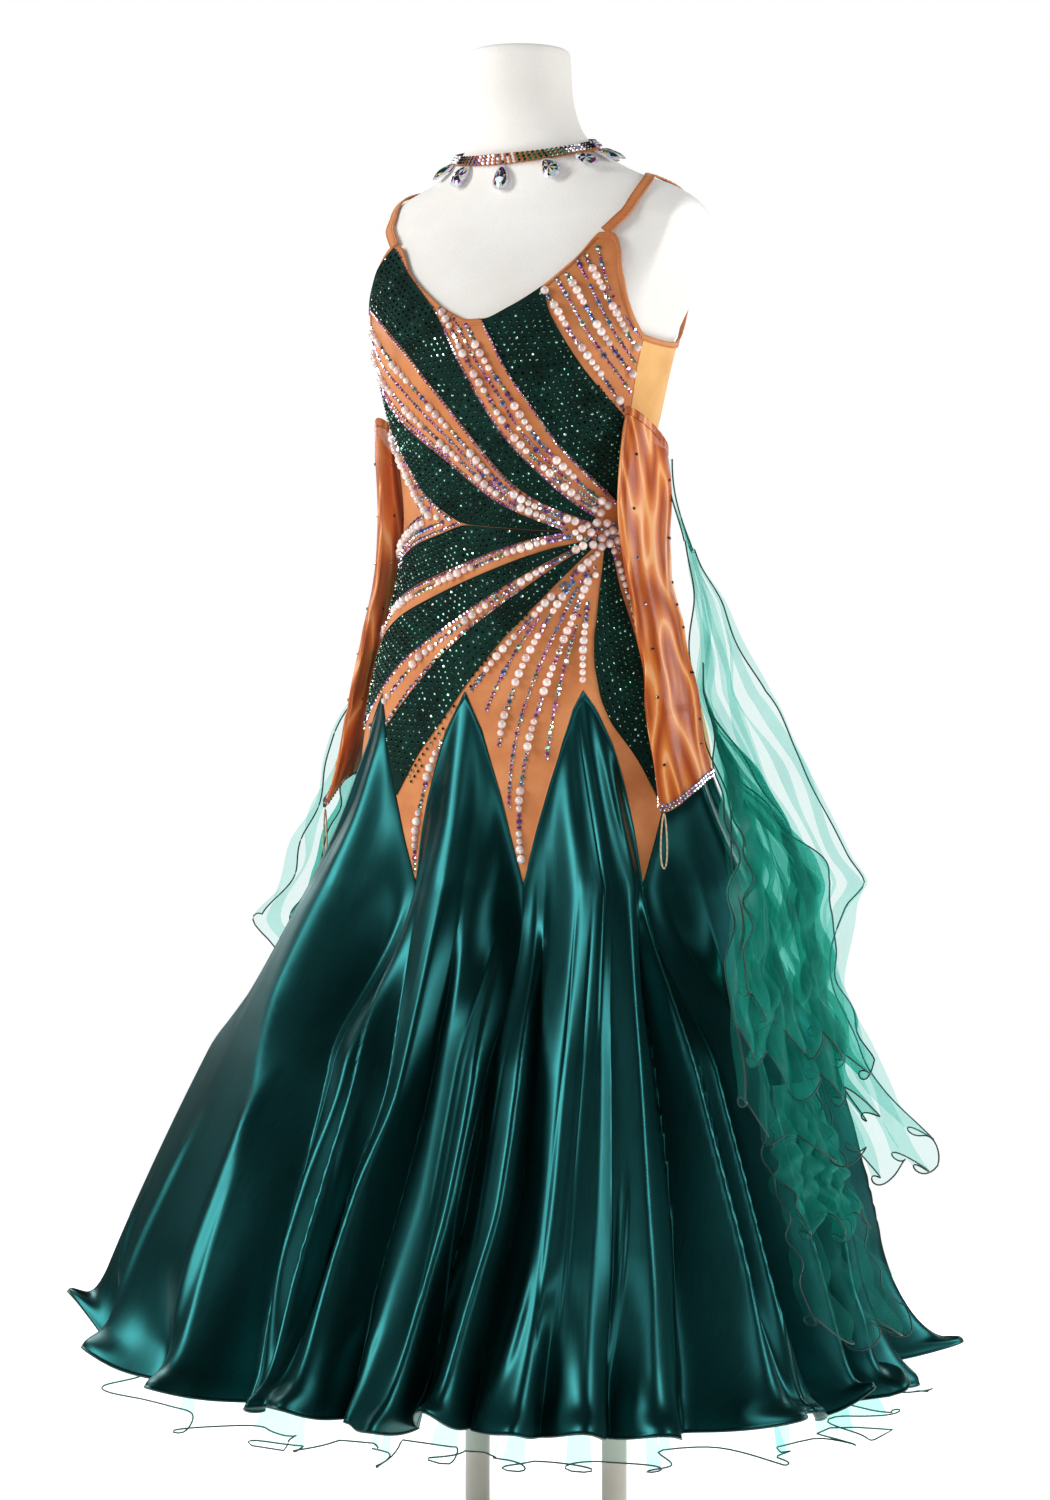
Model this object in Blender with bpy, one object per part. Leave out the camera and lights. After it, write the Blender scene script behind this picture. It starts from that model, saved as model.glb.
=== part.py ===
"""A sleeveless ballroom dance dress with its two loose armlets, floats and choker, on a limbless dress form.

Metres, +Z up, +X to the wearer's left, the wearer faces -Y. The origin is on the floor under the stand's base.
A point of the garment is given by its turn round the body (degrees, 0 at the centre front, + to the wearer's
left) and its height. Every cloth piece is a thin wall between an inner and an outer grid of such points.
"""

import math
from collections import namedtuple

import bpy
import numpy as np

# ---------------------------------------------------------------- sizes
SEAM_GAP = 0.0003            # between pieces that are sewn together
CLOTH = 0.0016               # wall of the stretch cloth and of the satin
FORM_INSET = 0.0032          # the form lies this far inside the dress
HIP_EASE = 0.0020            # and this much more below the hip
APPLIQUE = 0.0012            # thickness of the applique cloth
SIDE_GAP, SIDE_GAP_YOKE = 0.0040, 0.0090     # between a godet's edge and its seam, in folds, at the hem and the yoke
TIP_HEIGHT = 0.872           # tops of the godets
YOKE_LOW = 0.686             # lowest points of the bodice, between the godets
LANCET = 1.42                # 1 makes straight-sided godet tops, 2 round ones
VALLEY_DROP = 0.17           # below the yoke's points the valleys open out over this much
HEM_HEIGHT = 0.206
HEM_TILT = 0.020             # the hem rises this much towards the wearer's front right
NECK_TOP = 1.503
FORM_BOTTOM = 0.662
POLE_SPACING = 0.158
POLE_RADIUS = 0.0125
POLE_BACK = 0.010
BASE_RADIUS = 0.19
BASE_THICK = 0.012

# Sections of the form and the bodice on it: ellipses, deeper or shallower in front than behind.
Section = namedtuple("Section", "height half_width front_depth back_depth centre_y")
BODY = [
    Section(0.640, 0.174, 0.129, 0.134, -0.012),
    Section(0.690, 0.177, 0.132, 0.138, -0.012),
    Section(0.745, 0.181, 0.136, 0.144, -0.012),
    Section(0.800, 0.182, 0.136, 0.145, -0.012),
    Section(0.865, 0.172, 0.129, 0.134, -0.015),
    Section(0.930, 0.152, 0.115, 0.115, -0.022),
    Section(0.985, 0.133, 0.104, 0.100, -0.028),
    Section(1.045, 0.125, 0.100, 0.095, -0.030),
    Section(1.100, 0.130, 0.105, 0.097, -0.030),
    Section(1.150, 0.141, 0.118, 0.105, -0.029),
    Section(1.195, 0.151, 0.130, 0.112, -0.028),
    Section(1.215, 0.157, 0.127, 0.114, -0.027),
    Section(1.240, 0.168, 0.119, 0.117, -0.023),
    Section(1.270, 0.184, 0.108, 0.120, -0.018),
    Section(1.300, 0.197, 0.095, 0.119, -0.012),
    Section(1.330, 0.200, 0.082, 0.111, -0.008),
    Section(1.350, 0.180, 0.073, 0.101, -0.006),
    Section(1.369, 0.150, 0.066, 0.090, -0.007),
    Section(1.381, 0.118, 0.062, 0.080, -0.009),
    Section(1.392, 0.096, 0.059, 0.071, -0.012),
    Section(1.403, 0.079, 0.056, 0.063, -0.016),
    Section(1.416, 0.064, 0.053, 0.056, -0.022),
    Section(1.435, 0.055, 0.051, 0.052, -0.030),
    Section(1.460, 0.051, 0.050, 0.050, -0.036),
    Section(NECK_TOP, 0.050, 0.050, 0.050, -0.040),
]
# The flat plates at the shoulders cut the sections off at this half width.
Plate = namedtuple("Plate", "height half_width")
ARM_PLATES = [
    Plate(1.190, 0.175),
    Plate(1.212, 0.160),
    Plate(1.240, 0.160),
    Plate(1.290, 0.169),
    Plate(1.330, 0.176),
    Plate(1.369, 0.181),
    Plate(1.400, 0.210),
]
# Crests of the skirt's folds, down to the yoke's points and then straight to the hem.
Flare = namedtuple("Flare", "height half_width front_depth back_depth")
SKIRT = [
    Flare(0.872, 0.1703, 0.1278, 0.1322),
    Flare(0.826, 0.1850, 0.1370, 0.1450),
    Flare(0.795, 0.1985, 0.1440, 0.1540),
    Flare(0.754, 0.2160, 0.1530, 0.1670),
    Flare(0.686, 0.2500, 0.1770, 0.1920),
]
HEM_SECTION = Flare(0.170, 0.4220, 0.4200, 0.4150)
BULGE = 0.012                # the skirt stands this much outside the straight line, half way down
HEM_SWING = 0.048            # the hem's centre lies this far off the axis, towards SWING_TURN
Reach = namedtuple("Reach", "height fold_depth")
FOLD_DEPTHS = [
    Reach(0.872, 0.0000), Reach(0.826, 0.0020), Reach(0.754, 0.0065), Reach(0.690, 0.0105), Reach(0.570, 0.0160),
    Reach(0.450, 0.0205), Reach(0.350, 0.0240), Reach(0.290, 0.0270), Reach(0.170, 0.0330),
]
SWING_TURN = -60.0           # the skirt swings towards this side

# The eight godets, with the turn of the seam before each (at the yoke and at the hem) and of each fold's crest.
Godet = namedtuple("Godet", "name seam_yoke seam_hem crests_hem")
GODETS = [
    Godet("godet_back", -200.0, -195.0, (-189.0, -176.0, -163.0)),
    Godet("godet_back_right", -160.0, -157.0, (-150.0, -138.0, -126.0)),
    Godet("godet_right", -115.0, -120.0, (-114.0, -102.0, -89.0, -76.0)),
    Godet("godet_front_right", -65.0, -69.0, (-61.0, -44.0, -28.0, -13.0)),
    Godet("godet_front", -20.0, -6.0, (-0.5, 7.5, 17.5)),
    Godet("godet_front_left", 20.0, 21.5, (25.5, 34.0, 43.5, 54.0, 69.0)),
    Godet("godet_left", 62.0, 76.0, (83.0, 95.0, 107.0, 119.0)),
    Godet("godet_back_left", 112.0, 126.0, (132.0, 145.0, 158.0)),
]
COLUMNS_PER_FOLD = 6
SKIRT_ROWS = (0.0, 0.13, 0.31, 0.52, 0.72, 0.88, 1.0)     # shares of the way from yoke to hem
YOKE_NODES_PER_FOLD = 2      # the yoke's edge has a corner at every third column of a godet

# How each fold differs: its depth against the table's, how far its hem lip stands out, and how far it is lifted.
Lip = namedtuple("Lip", "crest_hem depth_share lip lift")
LIPS = [
    Lip(-189.0, 1.0, 0.022, 0.000), Lip(-176.0, 0.8, 0.014, 0.000), Lip(-163.0, 1.1, 0.026, 0.008),
    Lip(-150.0, 0.9, 0.016, 0.000), Lip(-138.0, 1.1, 0.028, 0.010), Lip(-126.0, 0.8, 0.016, 0.000),
    Lip(-114.0, 1.0, 0.026, 0.008), Lip(-102.0, 0.8, 0.014, 0.000), Lip(-89.0, 1.1, 0.026, 0.016),
    Lip(-76.0, 0.9, 0.013, 0.008), Lip(-61.0, 1.1, 0.004, 0.044), Lip(-44.0, 0.8, 0.004, 0.006),
    Lip(-28.0, 0.9, 0.008, 0.000), Lip(-13.0, 0.9, 0.014, -0.004), Lip(-0.5, 1.0, 0.020, -0.008),
    Lip(7.5, 0.8, 0.010, -0.002), Lip(17.5, 1.1, 0.016, -0.008), Lip(25.5, 1.0, 0.014, 0.002),
    Lip(34.0, 0.8, 0.010, -0.004), Lip(43.5, 0.7, 0.012, -0.002), Lip(54.0, 0.9, 0.014, -0.010),
    Lip(69.0, 1.1, 0.022, 0.000), Lip(83.0, 1.0, 0.024, -0.002), Lip(95.0, 0.9, 0.026, 0.004),
    Lip(107.0, 1.1, 0.034, 0.016), Lip(119.0, 1.0, 0.046, 0.036), Lip(132.0, 0.9, 0.026, 0.006),
    Lip(145.0, 0.8, 0.016, 0.000), Lip(158.0, 1.0, 0.022, 0.006),
]
LIP_START = 0.120            # the lip turns out over this much of the skirt above the hem

# Upper edge of the bodice: neckline, straps' corners, armholes, and the low curve of the back.
Edge = namedtuple("Edge", "turn height")
TOP_EDGE = [
    Edge(-122.5, 1.222), Edge(-110.0, 1.2155), Edge(-95.0, 1.2125), Edge(-77.5, 1.214), Edge(-68.0, 1.226),
    Edge(-58.0, 1.248), Edge(-48.0, 1.280), Edge(-38.5, 1.315), Edge(-34.5, 1.315), Edge(-26.0, 1.283),
    Edge(-16.0, 1.257), Edge(-6.0, 1.238), Edge(3.0, 1.2285), Edge(8.0, 1.2285), Edge(16.0, 1.240),
    Edge(24.0, 1.259), Edge(30.0, 1.284), Edge(35.5, 1.313), Edge(39.0, 1.313), Edge(48.0, 1.279),
    Edge(58.0, 1.247), Edge(68.0, 1.225), Edge(74.5, 1.2155), Edge(90.0, 1.2125), Edge(108.0, 1.2155),
    Edge(120.0, 1.222), Edge(128.0, 1.190), Edge(140.0, 1.125), Edge(155.0, 1.065), Edge(170.0, 1.036),
    Edge(179.0, 1.032), Edge(190.0, 1.038), Edge(205.0, 1.068), Edge(220.0, 1.130), Edge(230.0, 1.183),
    Edge(237.5, 1.222),
]
Panel = namedtuple("Panel", "name first_turn last_turn")
PANELS = [
    Panel("bodice_front", -77.5, 74.5),
    Panel("bodice_side_left", 74.5, 120.0),
    Panel("bodice_back", 120.0, 237.5),
    Panel("bodice_side_right", -122.5, -77.5),
]
# Rows of a panel: from the yoke up to the hip, from there to the waist, and on to the top edge.
HIP_ROW, WAIST_ROW = 0.895, 1.020
ROWS_BELOW_HIP, ROWS_TO_WAIST, ROWS_ABOVE = 4, 4, 7

# Applique bands that fan out from the wearer's left waist. Each edge runs from near the focus to its reach, at an
# angle on the unrolled bodice (0 to the wearer's left, 90 up), bowed sideways by its bow.
FOCUS_TURN, FOCUS_HEIGHT = 62.0, 1.026
UNROLL = 0.0023              # metres of cloth for one degree of turn
KNEE = 0.59                  # an edge with a bend turns off here, as a share of its reach
Ray = namedtuple("Ray", "start reach angle bow bend", defaults=(0.0,))
Band = namedtuple("Band", "name upper lower rows rise")     # rise: clear of the bodice by this much
BANDS = [
    Band("applique_bust_left", Ray(0.030, 0.238, 108.0, -0.055), Ray(0.026, 0.222, 121.5, 0.016), 5, 0.0012),
    Band("applique_bust_right", Ray(0.040, 0.346, 129.0, 0.016), Ray(0.036, 0.340, 142.0, 0.028), 4, 0.0019),
    Band("applique_waist_upper", Ray(0.038, 0.330, 151.0, 0.036), Ray(0.036, 0.275, 176.5, 0.0, -0.060), 3, 0.0015),
    Band("applique_waist_lower", Ray(0.036, 0.300, 176.5, 0.0, 0.048), Ray(0.034, 0.322, 197.5, -0.004), 3, 0.0015),
    Band("applique_hip", Ray(0.085, 0.328, 203.0, 0.014), Ray(0.083, 0.336, 211.5, 0.0), 2, 0.0014),
    Band("applique_thigh", Ray(0.040, 0.266, 220.0, -0.006), Ray(0.038, 0.292, 230.0, -0.005), 2, 0.0012),
    Band("applique_side", Ray(0.030, 0.238, 268.0, -0.028), Ray(0.026, 0.205, 277.0, 0.016), 2, 0.0014),
]
BAND_COLUMNS = 12


# Straps: narrow bands from the front corners over the shoulders to the corners of the low back.
STRAP_WIDTH, STRAP, STRAP_STEPS = 0.010, 0.0016, 21
STRAP_LEFT = [
    Edge(36.8, 1.3142), Edge(42.0, 1.335), Edge(52.0, 1.356), Edge(68.0, 1.371), Edge(90.0, 1.3785),
    Edge(110.0, 1.374), Edge(128.0, 1.352), Edge(139.0, 1.318), Edge(138.0, 1.280), Edge(131.0, 1.250),
    Edge(120.0, 1.2232),
]
STRAP_RIGHT = [
    Edge(-36.9, 1.3160), Edge(-42.0, 1.335), Edge(-52.0, 1.356), Edge(-68.0, 1.371), Edge(-90.0, 1.3785),
    Edge(-110.0, 1.374), Edge(-128.0, 1.352), Edge(-139.0, 1.318), Edge(-138.0, 1.280), Edge(-131.0, 1.250),
    Edge(-122.5, 1.2232),
]
# Choker round the base of the neck, with pear drops along its front and sides.
CHOKER_HEIGHT, CHOKER_TILT, CHOKER_WIDTH = 1.4085, 0.0125, 0.011
DROP_TURNS = [-128 + 25.6 * k for k in range(11)]
DROP_LONG, DROP_WIDE, DROP_THICK = 0.023, 0.0145, 0.0052
# Armlets: flattened tubes that hang at the sides from their elastic tops.
Cuff = namedtuple("Cuff", "height turn half_breadth half_depth")
ARMLET_LEFT = [
    Cuff(1.118, 81.0, 0.030, 0.0115), Cuff(1.095, 82.5, 0.036, 0.0125), Cuff(1.056, 84.0, 0.041, 0.0125),
    Cuff(1.010, 83.0, 0.036, 0.0120), Cuff(0.960, 80.0, 0.032, 0.0115), Cuff(0.910, 76.0, 0.032, 0.0110),
    Cuff(0.863, 73.0, 0.034, 0.0105), Cuff(0.825, 71.0, 0.033, 0.0105), Cuff(0.790, 69.0, 0.031, 0.0105),
]
ARMLET_RIGHT = [
    Cuff(1.120, -84.0, 0.030, 0.0115), Cuff(1.095, -82.0, 0.035, 0.0125), Cuff(1.056, -80.0, 0.038, 0.0125),
    Cuff(1.010, -79.0, 0.036, 0.0120), Cuff(0.960, -80.0, 0.034, 0.0115), Cuff(0.910, -81.0, 0.033, 0.0110),
    Cuff(0.863, -82.0, 0.033, 0.0105), Cuff(0.825, -83.5, 0.032, 0.0105), Cuff(0.790, -85.0, 0.031, 0.0105),
]
ARMLET_WALL = 0.0010
ARMLET_CLEAR = {"left": 0.0050, "right": 0.0044}      # off the form: over the bodice and its applique
TOP_TILT = 0.019             # the top's front stands this much above its middle
POINT_DROP = 0.034           # the wrist's point hangs this much below its edge
BAND_TALL = 0.009
LOOP_LONG, LOOP_WIDE, LOOP_CORD = 0.052, 0.0095, 0.0011
# Organza floats: each row runs from its near edge, close on the skirt's folds, to its free edge. The places are
# fold phases of the skirt; the rises say how far the cloth stands off the folds.
Row = namedtuple("Row", "height near free near_rise free_rise wave")
FLOAT_LEFT = [
    Row(1.094, 24.28, 24.40, -0.018, -0.018, 0.000), Row(1.000, 24.15, 25.00, 0.000, 0.003, 0.000),
    Row(0.955, 24.05, 25.20, 0.008, 0.030, 0.002), Row(0.896, 23.90, 25.20, 0.010, 0.055, 0.005),
    Row(0.850, 23.65, 25.20, 0.010, 0.070, 0.008), Row(0.800, 23.30, 25.25, 0.010, 0.082, 0.010),
    Row(0.760, 22.95, 25.30, 0.009, 0.080, 0.011), Row(0.713, 22.60, 25.40, 0.008, 0.078, 0.012),
    Row(0.690, 22.30, 25.40, 0.008, 0.082, 0.013), Row(0.661, 22.00, 25.40, 0.008, 0.054, 0.013),
    Row(0.616, 21.60, 25.40, 0.008, 0.032, 0.012), Row(0.560, 21.30, 25.40, 0.008, 0.022, 0.012),
    Row(0.516, 21.15, 25.40, 0.008, 0.026, 0.013), Row(0.477, 20.95, 25.40, 0.008, 0.042, 0.014),
    Row(0.410, 20.90, 25.40, 0.008, 0.080, 0.014),
]
FLOAT_RIGHT = [
    Row(1.094, 7.10, 7.00, -0.018, -0.018, 0.000), Row(1.000, 6.60, 7.05, 0.000, 0.003, 0.000),
    Row(0.955, 6.20, 7.00, 0.006, 0.014, 0.002), Row(0.895, 5.80, 6.95, 0.008, 0.036, 0.004),
    Row(0.827, 5.40, 6.95, 0.008, 0.058, 0.007), Row(0.785, 5.20, 7.00, 0.008, 0.054, 0.009),
    Row(0.732, 5.00, 7.00, 0.008, 0.057, 0.010), Row(0.690, 4.80, 7.00, 0.008, 0.052, 0.011),
    Row(0.640, 4.60, 7.05, 0.008, 0.070, 0.011), Row(0.600, 4.50, 7.05, 0.008, 0.024, 0.012),
    Row(0.500, 4.30, 7.00, 0.008, 0.016, 0.012), Row(0.430, 4.20, 6.90, 0.008, 0.016, 0.012),
]
FLOAT_TAIL = [
    Row(0.500, 21.90, 23.55, 0.0035, 0.0035, 0.000), Row(0.420, 21.60, 23.55, 0.0035, 0.0035, 0.001),
    Row(0.340, 21.60, 23.65, 0.0035, 0.0035, 0.003), Row(0.255, 21.60, 24.10, 0.0035, 0.0035, 0.005),
]
# Lower edges of the floats: height by share of the way from the near edge to the free edge.
Low = namedtuple("Low", "share height")
FLOAT_LEFT_LOW = [Low(0.0, 0.485), Low(0.12, 0.470), Low(0.28, 0.440), Low(0.42, 0.438), Low(0.60, 0.414),
                  Low(0.78, 0.412), Low(1.0, 0.436)]
FLOAT_RIGHT_LOW = [Low(0.0, 0.455), Low(0.25, 0.435), Low(0.50, 0.450), Low(0.70, 0.500), Low(0.86, 0.570),
                   Low(1.0, 0.636)]
FLOAT_TAIL_LOW = [Low(0.0, 0.279), Low(0.35, 0.268), Low(0.70, 0.262), Low(1.0, 0.272)]
ORGANZA = 0.0010
FLOAT_WAVES = 2.5
# Underskirt: an organza flounce sewn inside the godets, longer than they are by a finger's width.
UNDER_ROWS = ((0.72, 0.0), (0.88, 0.45), (1.0, 1.0))     # the skirt's row at each of its own, and its freedom there
UNDER_LONGER, UNDER_AWAY = 0.014, 0.014


# ---------------------------------------------------------------- curves and grids
def smooth(xs, ys, at):
    """Monotone cubic curve through (xs, ys), read at `at`; xs rise."""
    xs, ys, at = np.asarray(xs, float), np.asarray(ys, float), np.asarray(at, float)
    step = np.diff(xs)
    slope = np.diff(ys) / step
    tangent = np.empty_like(ys)
    tangent[0], tangent[-1] = slope[0], slope[-1]
    same = slope[1:] * slope[:-1] > 0
    weight_a, weight_b = 2 * step[1:] + step[:-1], step[1:] + 2 * step[:-1]
    with np.errstate(divide="ignore", invalid="ignore"):
        mean = (weight_a + weight_b) / (weight_a / slope[:-1] + weight_b / slope[1:])
    tangent[1:-1] = np.where(same, mean, 0.0)
    at = np.clip(at, xs[0], xs[-1])
    k = np.clip(np.searchsorted(xs, at, side="right") - 1, 0, len(xs) - 2)
    f = (at - xs[k]) / step[k]
    return ((1 + 2 * f) * (1 - f) ** 2 * ys[k] + f * (1 - f) ** 2 * step[k] * tangent[k]
            + f * f * (3 - 2 * f) * ys[k + 1] + f * f * (f - 1) * step[k] * tangent[k + 1])


def column(table, name, height):
    rows = sorted(table, key=lambda row: row.height)
    return smooth([row.height for row in rows], [getattr(row, name) for row in rows], height)


def ease(f):
    f = np.clip(f, 0.0, 1.0)
    return f * f * (3 - 2 * f)


def unit(vectors):
    return vectors / np.maximum(np.linalg.norm(vectors, axis=-1, keepdims=True), 1e-12)


def ellipse(turn, half_width, front, back, centre_x, centre_y, height):
    angle = np.radians(turn)
    depth = np.where(np.cos(angle) > 0, front, back)
    return np.stack(np.broadcast_arrays(centre_x + half_width * np.sin(angle),
                                        centre_y - depth * np.cos(angle), height), axis=-1)


def body(turn, height):
    """The outside of the dress form's own shape, which the bodice follows."""
    turn, height = np.broadcast_arrays(np.asarray(turn, float), np.asarray(height, float))
    point = ellipse(turn, column(BODY, "half_width", height), column(BODY, "front_depth", height),
                    column(BODY, "back_depth", height), 0.0, column(BODY, "centre_y", height), height)
    plate = column(ARM_PLATES, "half_width", height)
    wide = np.abs(point[..., 0])
    cut = 0.5 * (wide + plate - np.sqrt((wide - plate) ** 2 + 0.005 ** 2))
    point[..., 0] = np.sign(point[..., 0]) * np.where(height > 1.20, cut, wide)
    return point


def outward(surface, first, second, step_first, step_second):
    """Unit normals of surface(first, second), pointing away from the body's axis."""
    along = surface(first + step_first, second) - surface(first - step_first, second)
    down = surface(first, second + step_second) - surface(first, second - step_second)
    return unit(np.cross(along, down))


def body_out(turn, height, rise):
    """A point on the body, moved out by `rise`."""
    turn, height = np.broadcast_arrays(np.asarray(turn, float), np.asarray(height, float))
    return body(turn, height) + outward(body, turn, height, 0.5, 0.002) * np.asarray(rise)[..., None]


# ---------------------------------------------------------------- the skirt's surface
FIRST_FOLD = np.cumsum([0] + [len(g.crests_hem) for g in GODETS])
FOLDS = int(FIRST_FOLD[-1])
SEAMS_YOKE = [g.seam_yoke for g in GODETS] + [GODETS[0].seam_yoke + 360.0]
PHASE_MARKS = np.sort(np.concatenate([FIRST_FOLD - 0.5, np.arange(FOLDS)]))
TURN_MARKS = np.sort(np.concatenate([[g.seam_hem for g in GODETS], [GODETS[0].seam_hem + 360.0],
                                     np.concatenate([g.crests_hem for g in GODETS])]))


def yoke_turn(phase):
    return np.interp(phase, FIRST_FOLD - 0.5, SEAMS_YOKE)


def across(phase):
    """Place across a godet: -1 at its first seam, 0 under its tip, 1 at its last seam."""
    k = np.clip(np.searchsorted(FIRST_FOLD - 0.5, phase, side="right") - 1, 0, len(GODETS) - 1)
    first, last = FIRST_FOLD[k] - 0.5, FIRST_FOLD[k + 1] - 0.5
    return np.clip(2 * (phase - first) / (last - first) - 1, -1, 1)


def yoke_edge(phase):
    """Height of the seam between bodice and godet, straight between the yoke's corners."""
    nodes = np.arange(FOLDS * YOKE_NODES_PER_FOLD + 1) / YOKE_NODES_PER_FOLD - 0.5
    place = np.abs(across(nodes))
    place[np.isclose((nodes + 0.5) % 1, 0) & np.isin(np.round(nodes + 0.5), FIRST_FOLD)] = 1.0
    return np.interp(phase, nodes, TIP_HEIGHT - (TIP_HEIGHT - YOKE_LOW) * place ** LANCET)


def fold_value(phase, name):
    marks = np.arange(-1, FOLDS + 1)
    values = [getattr(LIPS[i % FOLDS], name) for i in marks]
    return np.interp(phase, marks, values)


def hem_turn(phase):
    return smooth(PHASE_MARKS, TURN_MARKS, phase)


def crest_share(phase):
    """1 on the crest of a fold, 0 in the valley beside it."""
    return 0.5 + 0.5 * np.cos(2 * math.pi * phase)


def hem_line(phase):
    """Height of the hem's edge."""
    return (HEM_HEIGHT + HEM_TILT * np.cos(np.radians(hem_turn(phase) - SWING_TURN))
            + fold_value(phase, "lift") * crest_share(phase))


def skirt(phase, height, hull=False):
    """The skirt's inner face at a fold phase (whole numbers are crests, seams lie halfway) and a height.

    With `hull` every phase is a crest, which gives the smooth surface that the folds touch from inside.
    """
    phase, height = np.broadcast_arrays(np.asarray(phase, float), np.asarray(height, float))
    wrapped = (phase + 0.5) % FOLDS - 0.5
    lap = (phase - wrapped) / FOLDS * 360.0
    turn_above, turn_below = lap + yoke_turn(wrapped), lap + hem_turn(wrapped)
    level = np.maximum(height, YOKE_LOW)
    above = ellipse(turn_above, column(SKIRT, "half_width", level), column(SKIRT, "front_depth", level),
                    column(SKIRT, "back_depth", level), 0.0, -0.015, height)
    swing = math.radians(SWING_TURN)
    below = ellipse(turn_below, HEM_SECTION.half_width, HEM_SECTION.front_depth, HEM_SECTION.back_depth,
                    HEM_SWING * math.sin(swing), -0.015 - HEM_SWING * math.cos(swing), height)
    drop = np.maximum(YOKE_LOW - height, 0.0) / (YOKE_LOW - HEM_SECTION.height)
    cone = above + (below - above) * drop[..., None]
    on_body = body(turn_above, level)
    on_body[..., 2] = height
    half = np.clip((TIP_HEIGHT - height) / (TIP_HEIGHT - YOKE_LOW), 1e-6, 1.0) ** (1 / LANCET)
    to_seam = (0.5 - 0.5 * np.cos(math.pi * np.clip(np.abs(across(wrapped)) / half, 0, 1))) ** 1.5
    free = np.maximum(1 - to_seam * (1 - ease((YOKE_LOW - height) / VALLEY_DROP)), 1.0 if hull else 0.0)
    point = on_body + (cone - on_body) * free[..., None]
    near_hem = np.clip((hem_line(wrapped) + LIP_START - height) / LIP_START, 0, 1) ** 2
    crest = np.maximum(crest_share(wrapped), 1.0 if hull else 0.0)
    radial = (-2 * column(FOLD_DEPTHS, "fold_depth", height) * fold_value(wrapped, "depth_share") * (1 - crest) * free
              + BULGE * np.sin(math.pi * np.clip(drop, 0, 1)) + near_hem * fold_value(wrapped, "lip") * crest)
    turn = turn_above + (turn_below - turn_above) * np.clip(drop, 0, 1) ** 0.5
    out = np.stack([np.sin(np.radians(turn)), -np.cos(np.radians(turn)), np.zeros_like(turn)], axis=-1)
    return point + out * radial[..., None]


def skirt_out(phase, height, rise):
    phase, height = np.broadcast_arrays(np.asarray(phase, float), np.asarray(height, float))
    normal = outward(skirt, phase, height, 0.04, 0.002)
    return skirt(phase, height) + normal * np.asarray(rise)[..., None]


# ---------------------------------------------------------------- solids
MATERIALS = {}


def material(name, colour, roughness, metallic=0.0):
    if name not in MATERIALS:
        made = bpy.data.materials.new(name)
        made.use_nodes = True
        shader = made.node_tree.nodes["Principled BSDF"]
        shader.inputs["Base Color"].default_value = (*colour, 1.0)
        shader.inputs["Roughness"].default_value = roughness
        shader.inputs["Metallic"].default_value = metallic
        made.diffuse_color = (*colour, 1.0)
        MATERIALS[name] = made
    return MATERIALS[name]


def fans(faces):
    """The faces split into triangles from each one's first corner."""
    return [(face[0], face[k], face[k + 1]) for face in faces for k in range(1, len(face) - 1)]


def solid(name, points, faces, finish):
    """One closed mesh object, its faces turned out."""
    points = np.asarray(points, float)
    if sum(np.dot(points[a], np.cross(points[b], points[c])) for a, b, c in fans(faces)) < 0:
        faces = [face[::-1] for face in faces]
    faces = fans(faces)
    mesh = bpy.data.meshes.new(name)
    mesh.from_pydata([tuple(p) for p in points], [], [tuple(int(v) for v in face) for face in faces])
    mesh.update()
    mesh.shade_smooth()
    made = bpy.data.objects.new(name, mesh)
    made.data.materials.append(finish)
    bpy.context.scene.collection.objects.link(made)
    return made


def wall(name, inner, outer, finish, ring=False):
    """A closed wall between two grids of points with the same rows and columns; a ring joins its last column."""
    rows, columns = inner.shape[:2]
    points = np.concatenate([inner.reshape(-1, 3), outer.reshape(-1, 3)])
    far = rows * columns
    faces = []
    for j in range(columns if ring else columns - 1):
        n = (j + 1) % columns
        for i in range(rows - 1):
            a, b, c, d = i * columns + j, i * columns + n, (i + 1) * columns + n, (i + 1) * columns + j
            faces += [(d, a, b, c), (far + d, far + c, far + b, far + a)]   # the same diagonal on both sides
        last = (rows - 1) * columns
        faces += [(n, j, far + j, far + n), (last + j, last + n, far + last + n, far + last + j)]
    if not ring:
        for i in range(rows - 1):
            a, b = i * columns, (i + 1) * columns
            faces.append((a, b, far + b, far + a))
            a, b = a + columns - 1, b + columns - 1
            faces.append((b, a, far + a, far + b))
    return solid(name, points, faces, finish)


def loft(name, rings, finish):
    """A closed solid through rings of points, with flat ends."""
    rings = np.asarray(rings)
    count, sides = rings.shape[:2]
    faces = [tuple(range(sides)), tuple((count - 1) * sides + k for k in reversed(range(sides)))]
    for i in range(count - 1):
        for k in range(sides):
            n = (k + 1) % sides
            faces.append((i * sides + n, i * sides + k, (i + 1) * sides + k, (i + 1) * sides + n))
    return solid(name, rings.reshape(-1, 3), faces, finish)


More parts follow.
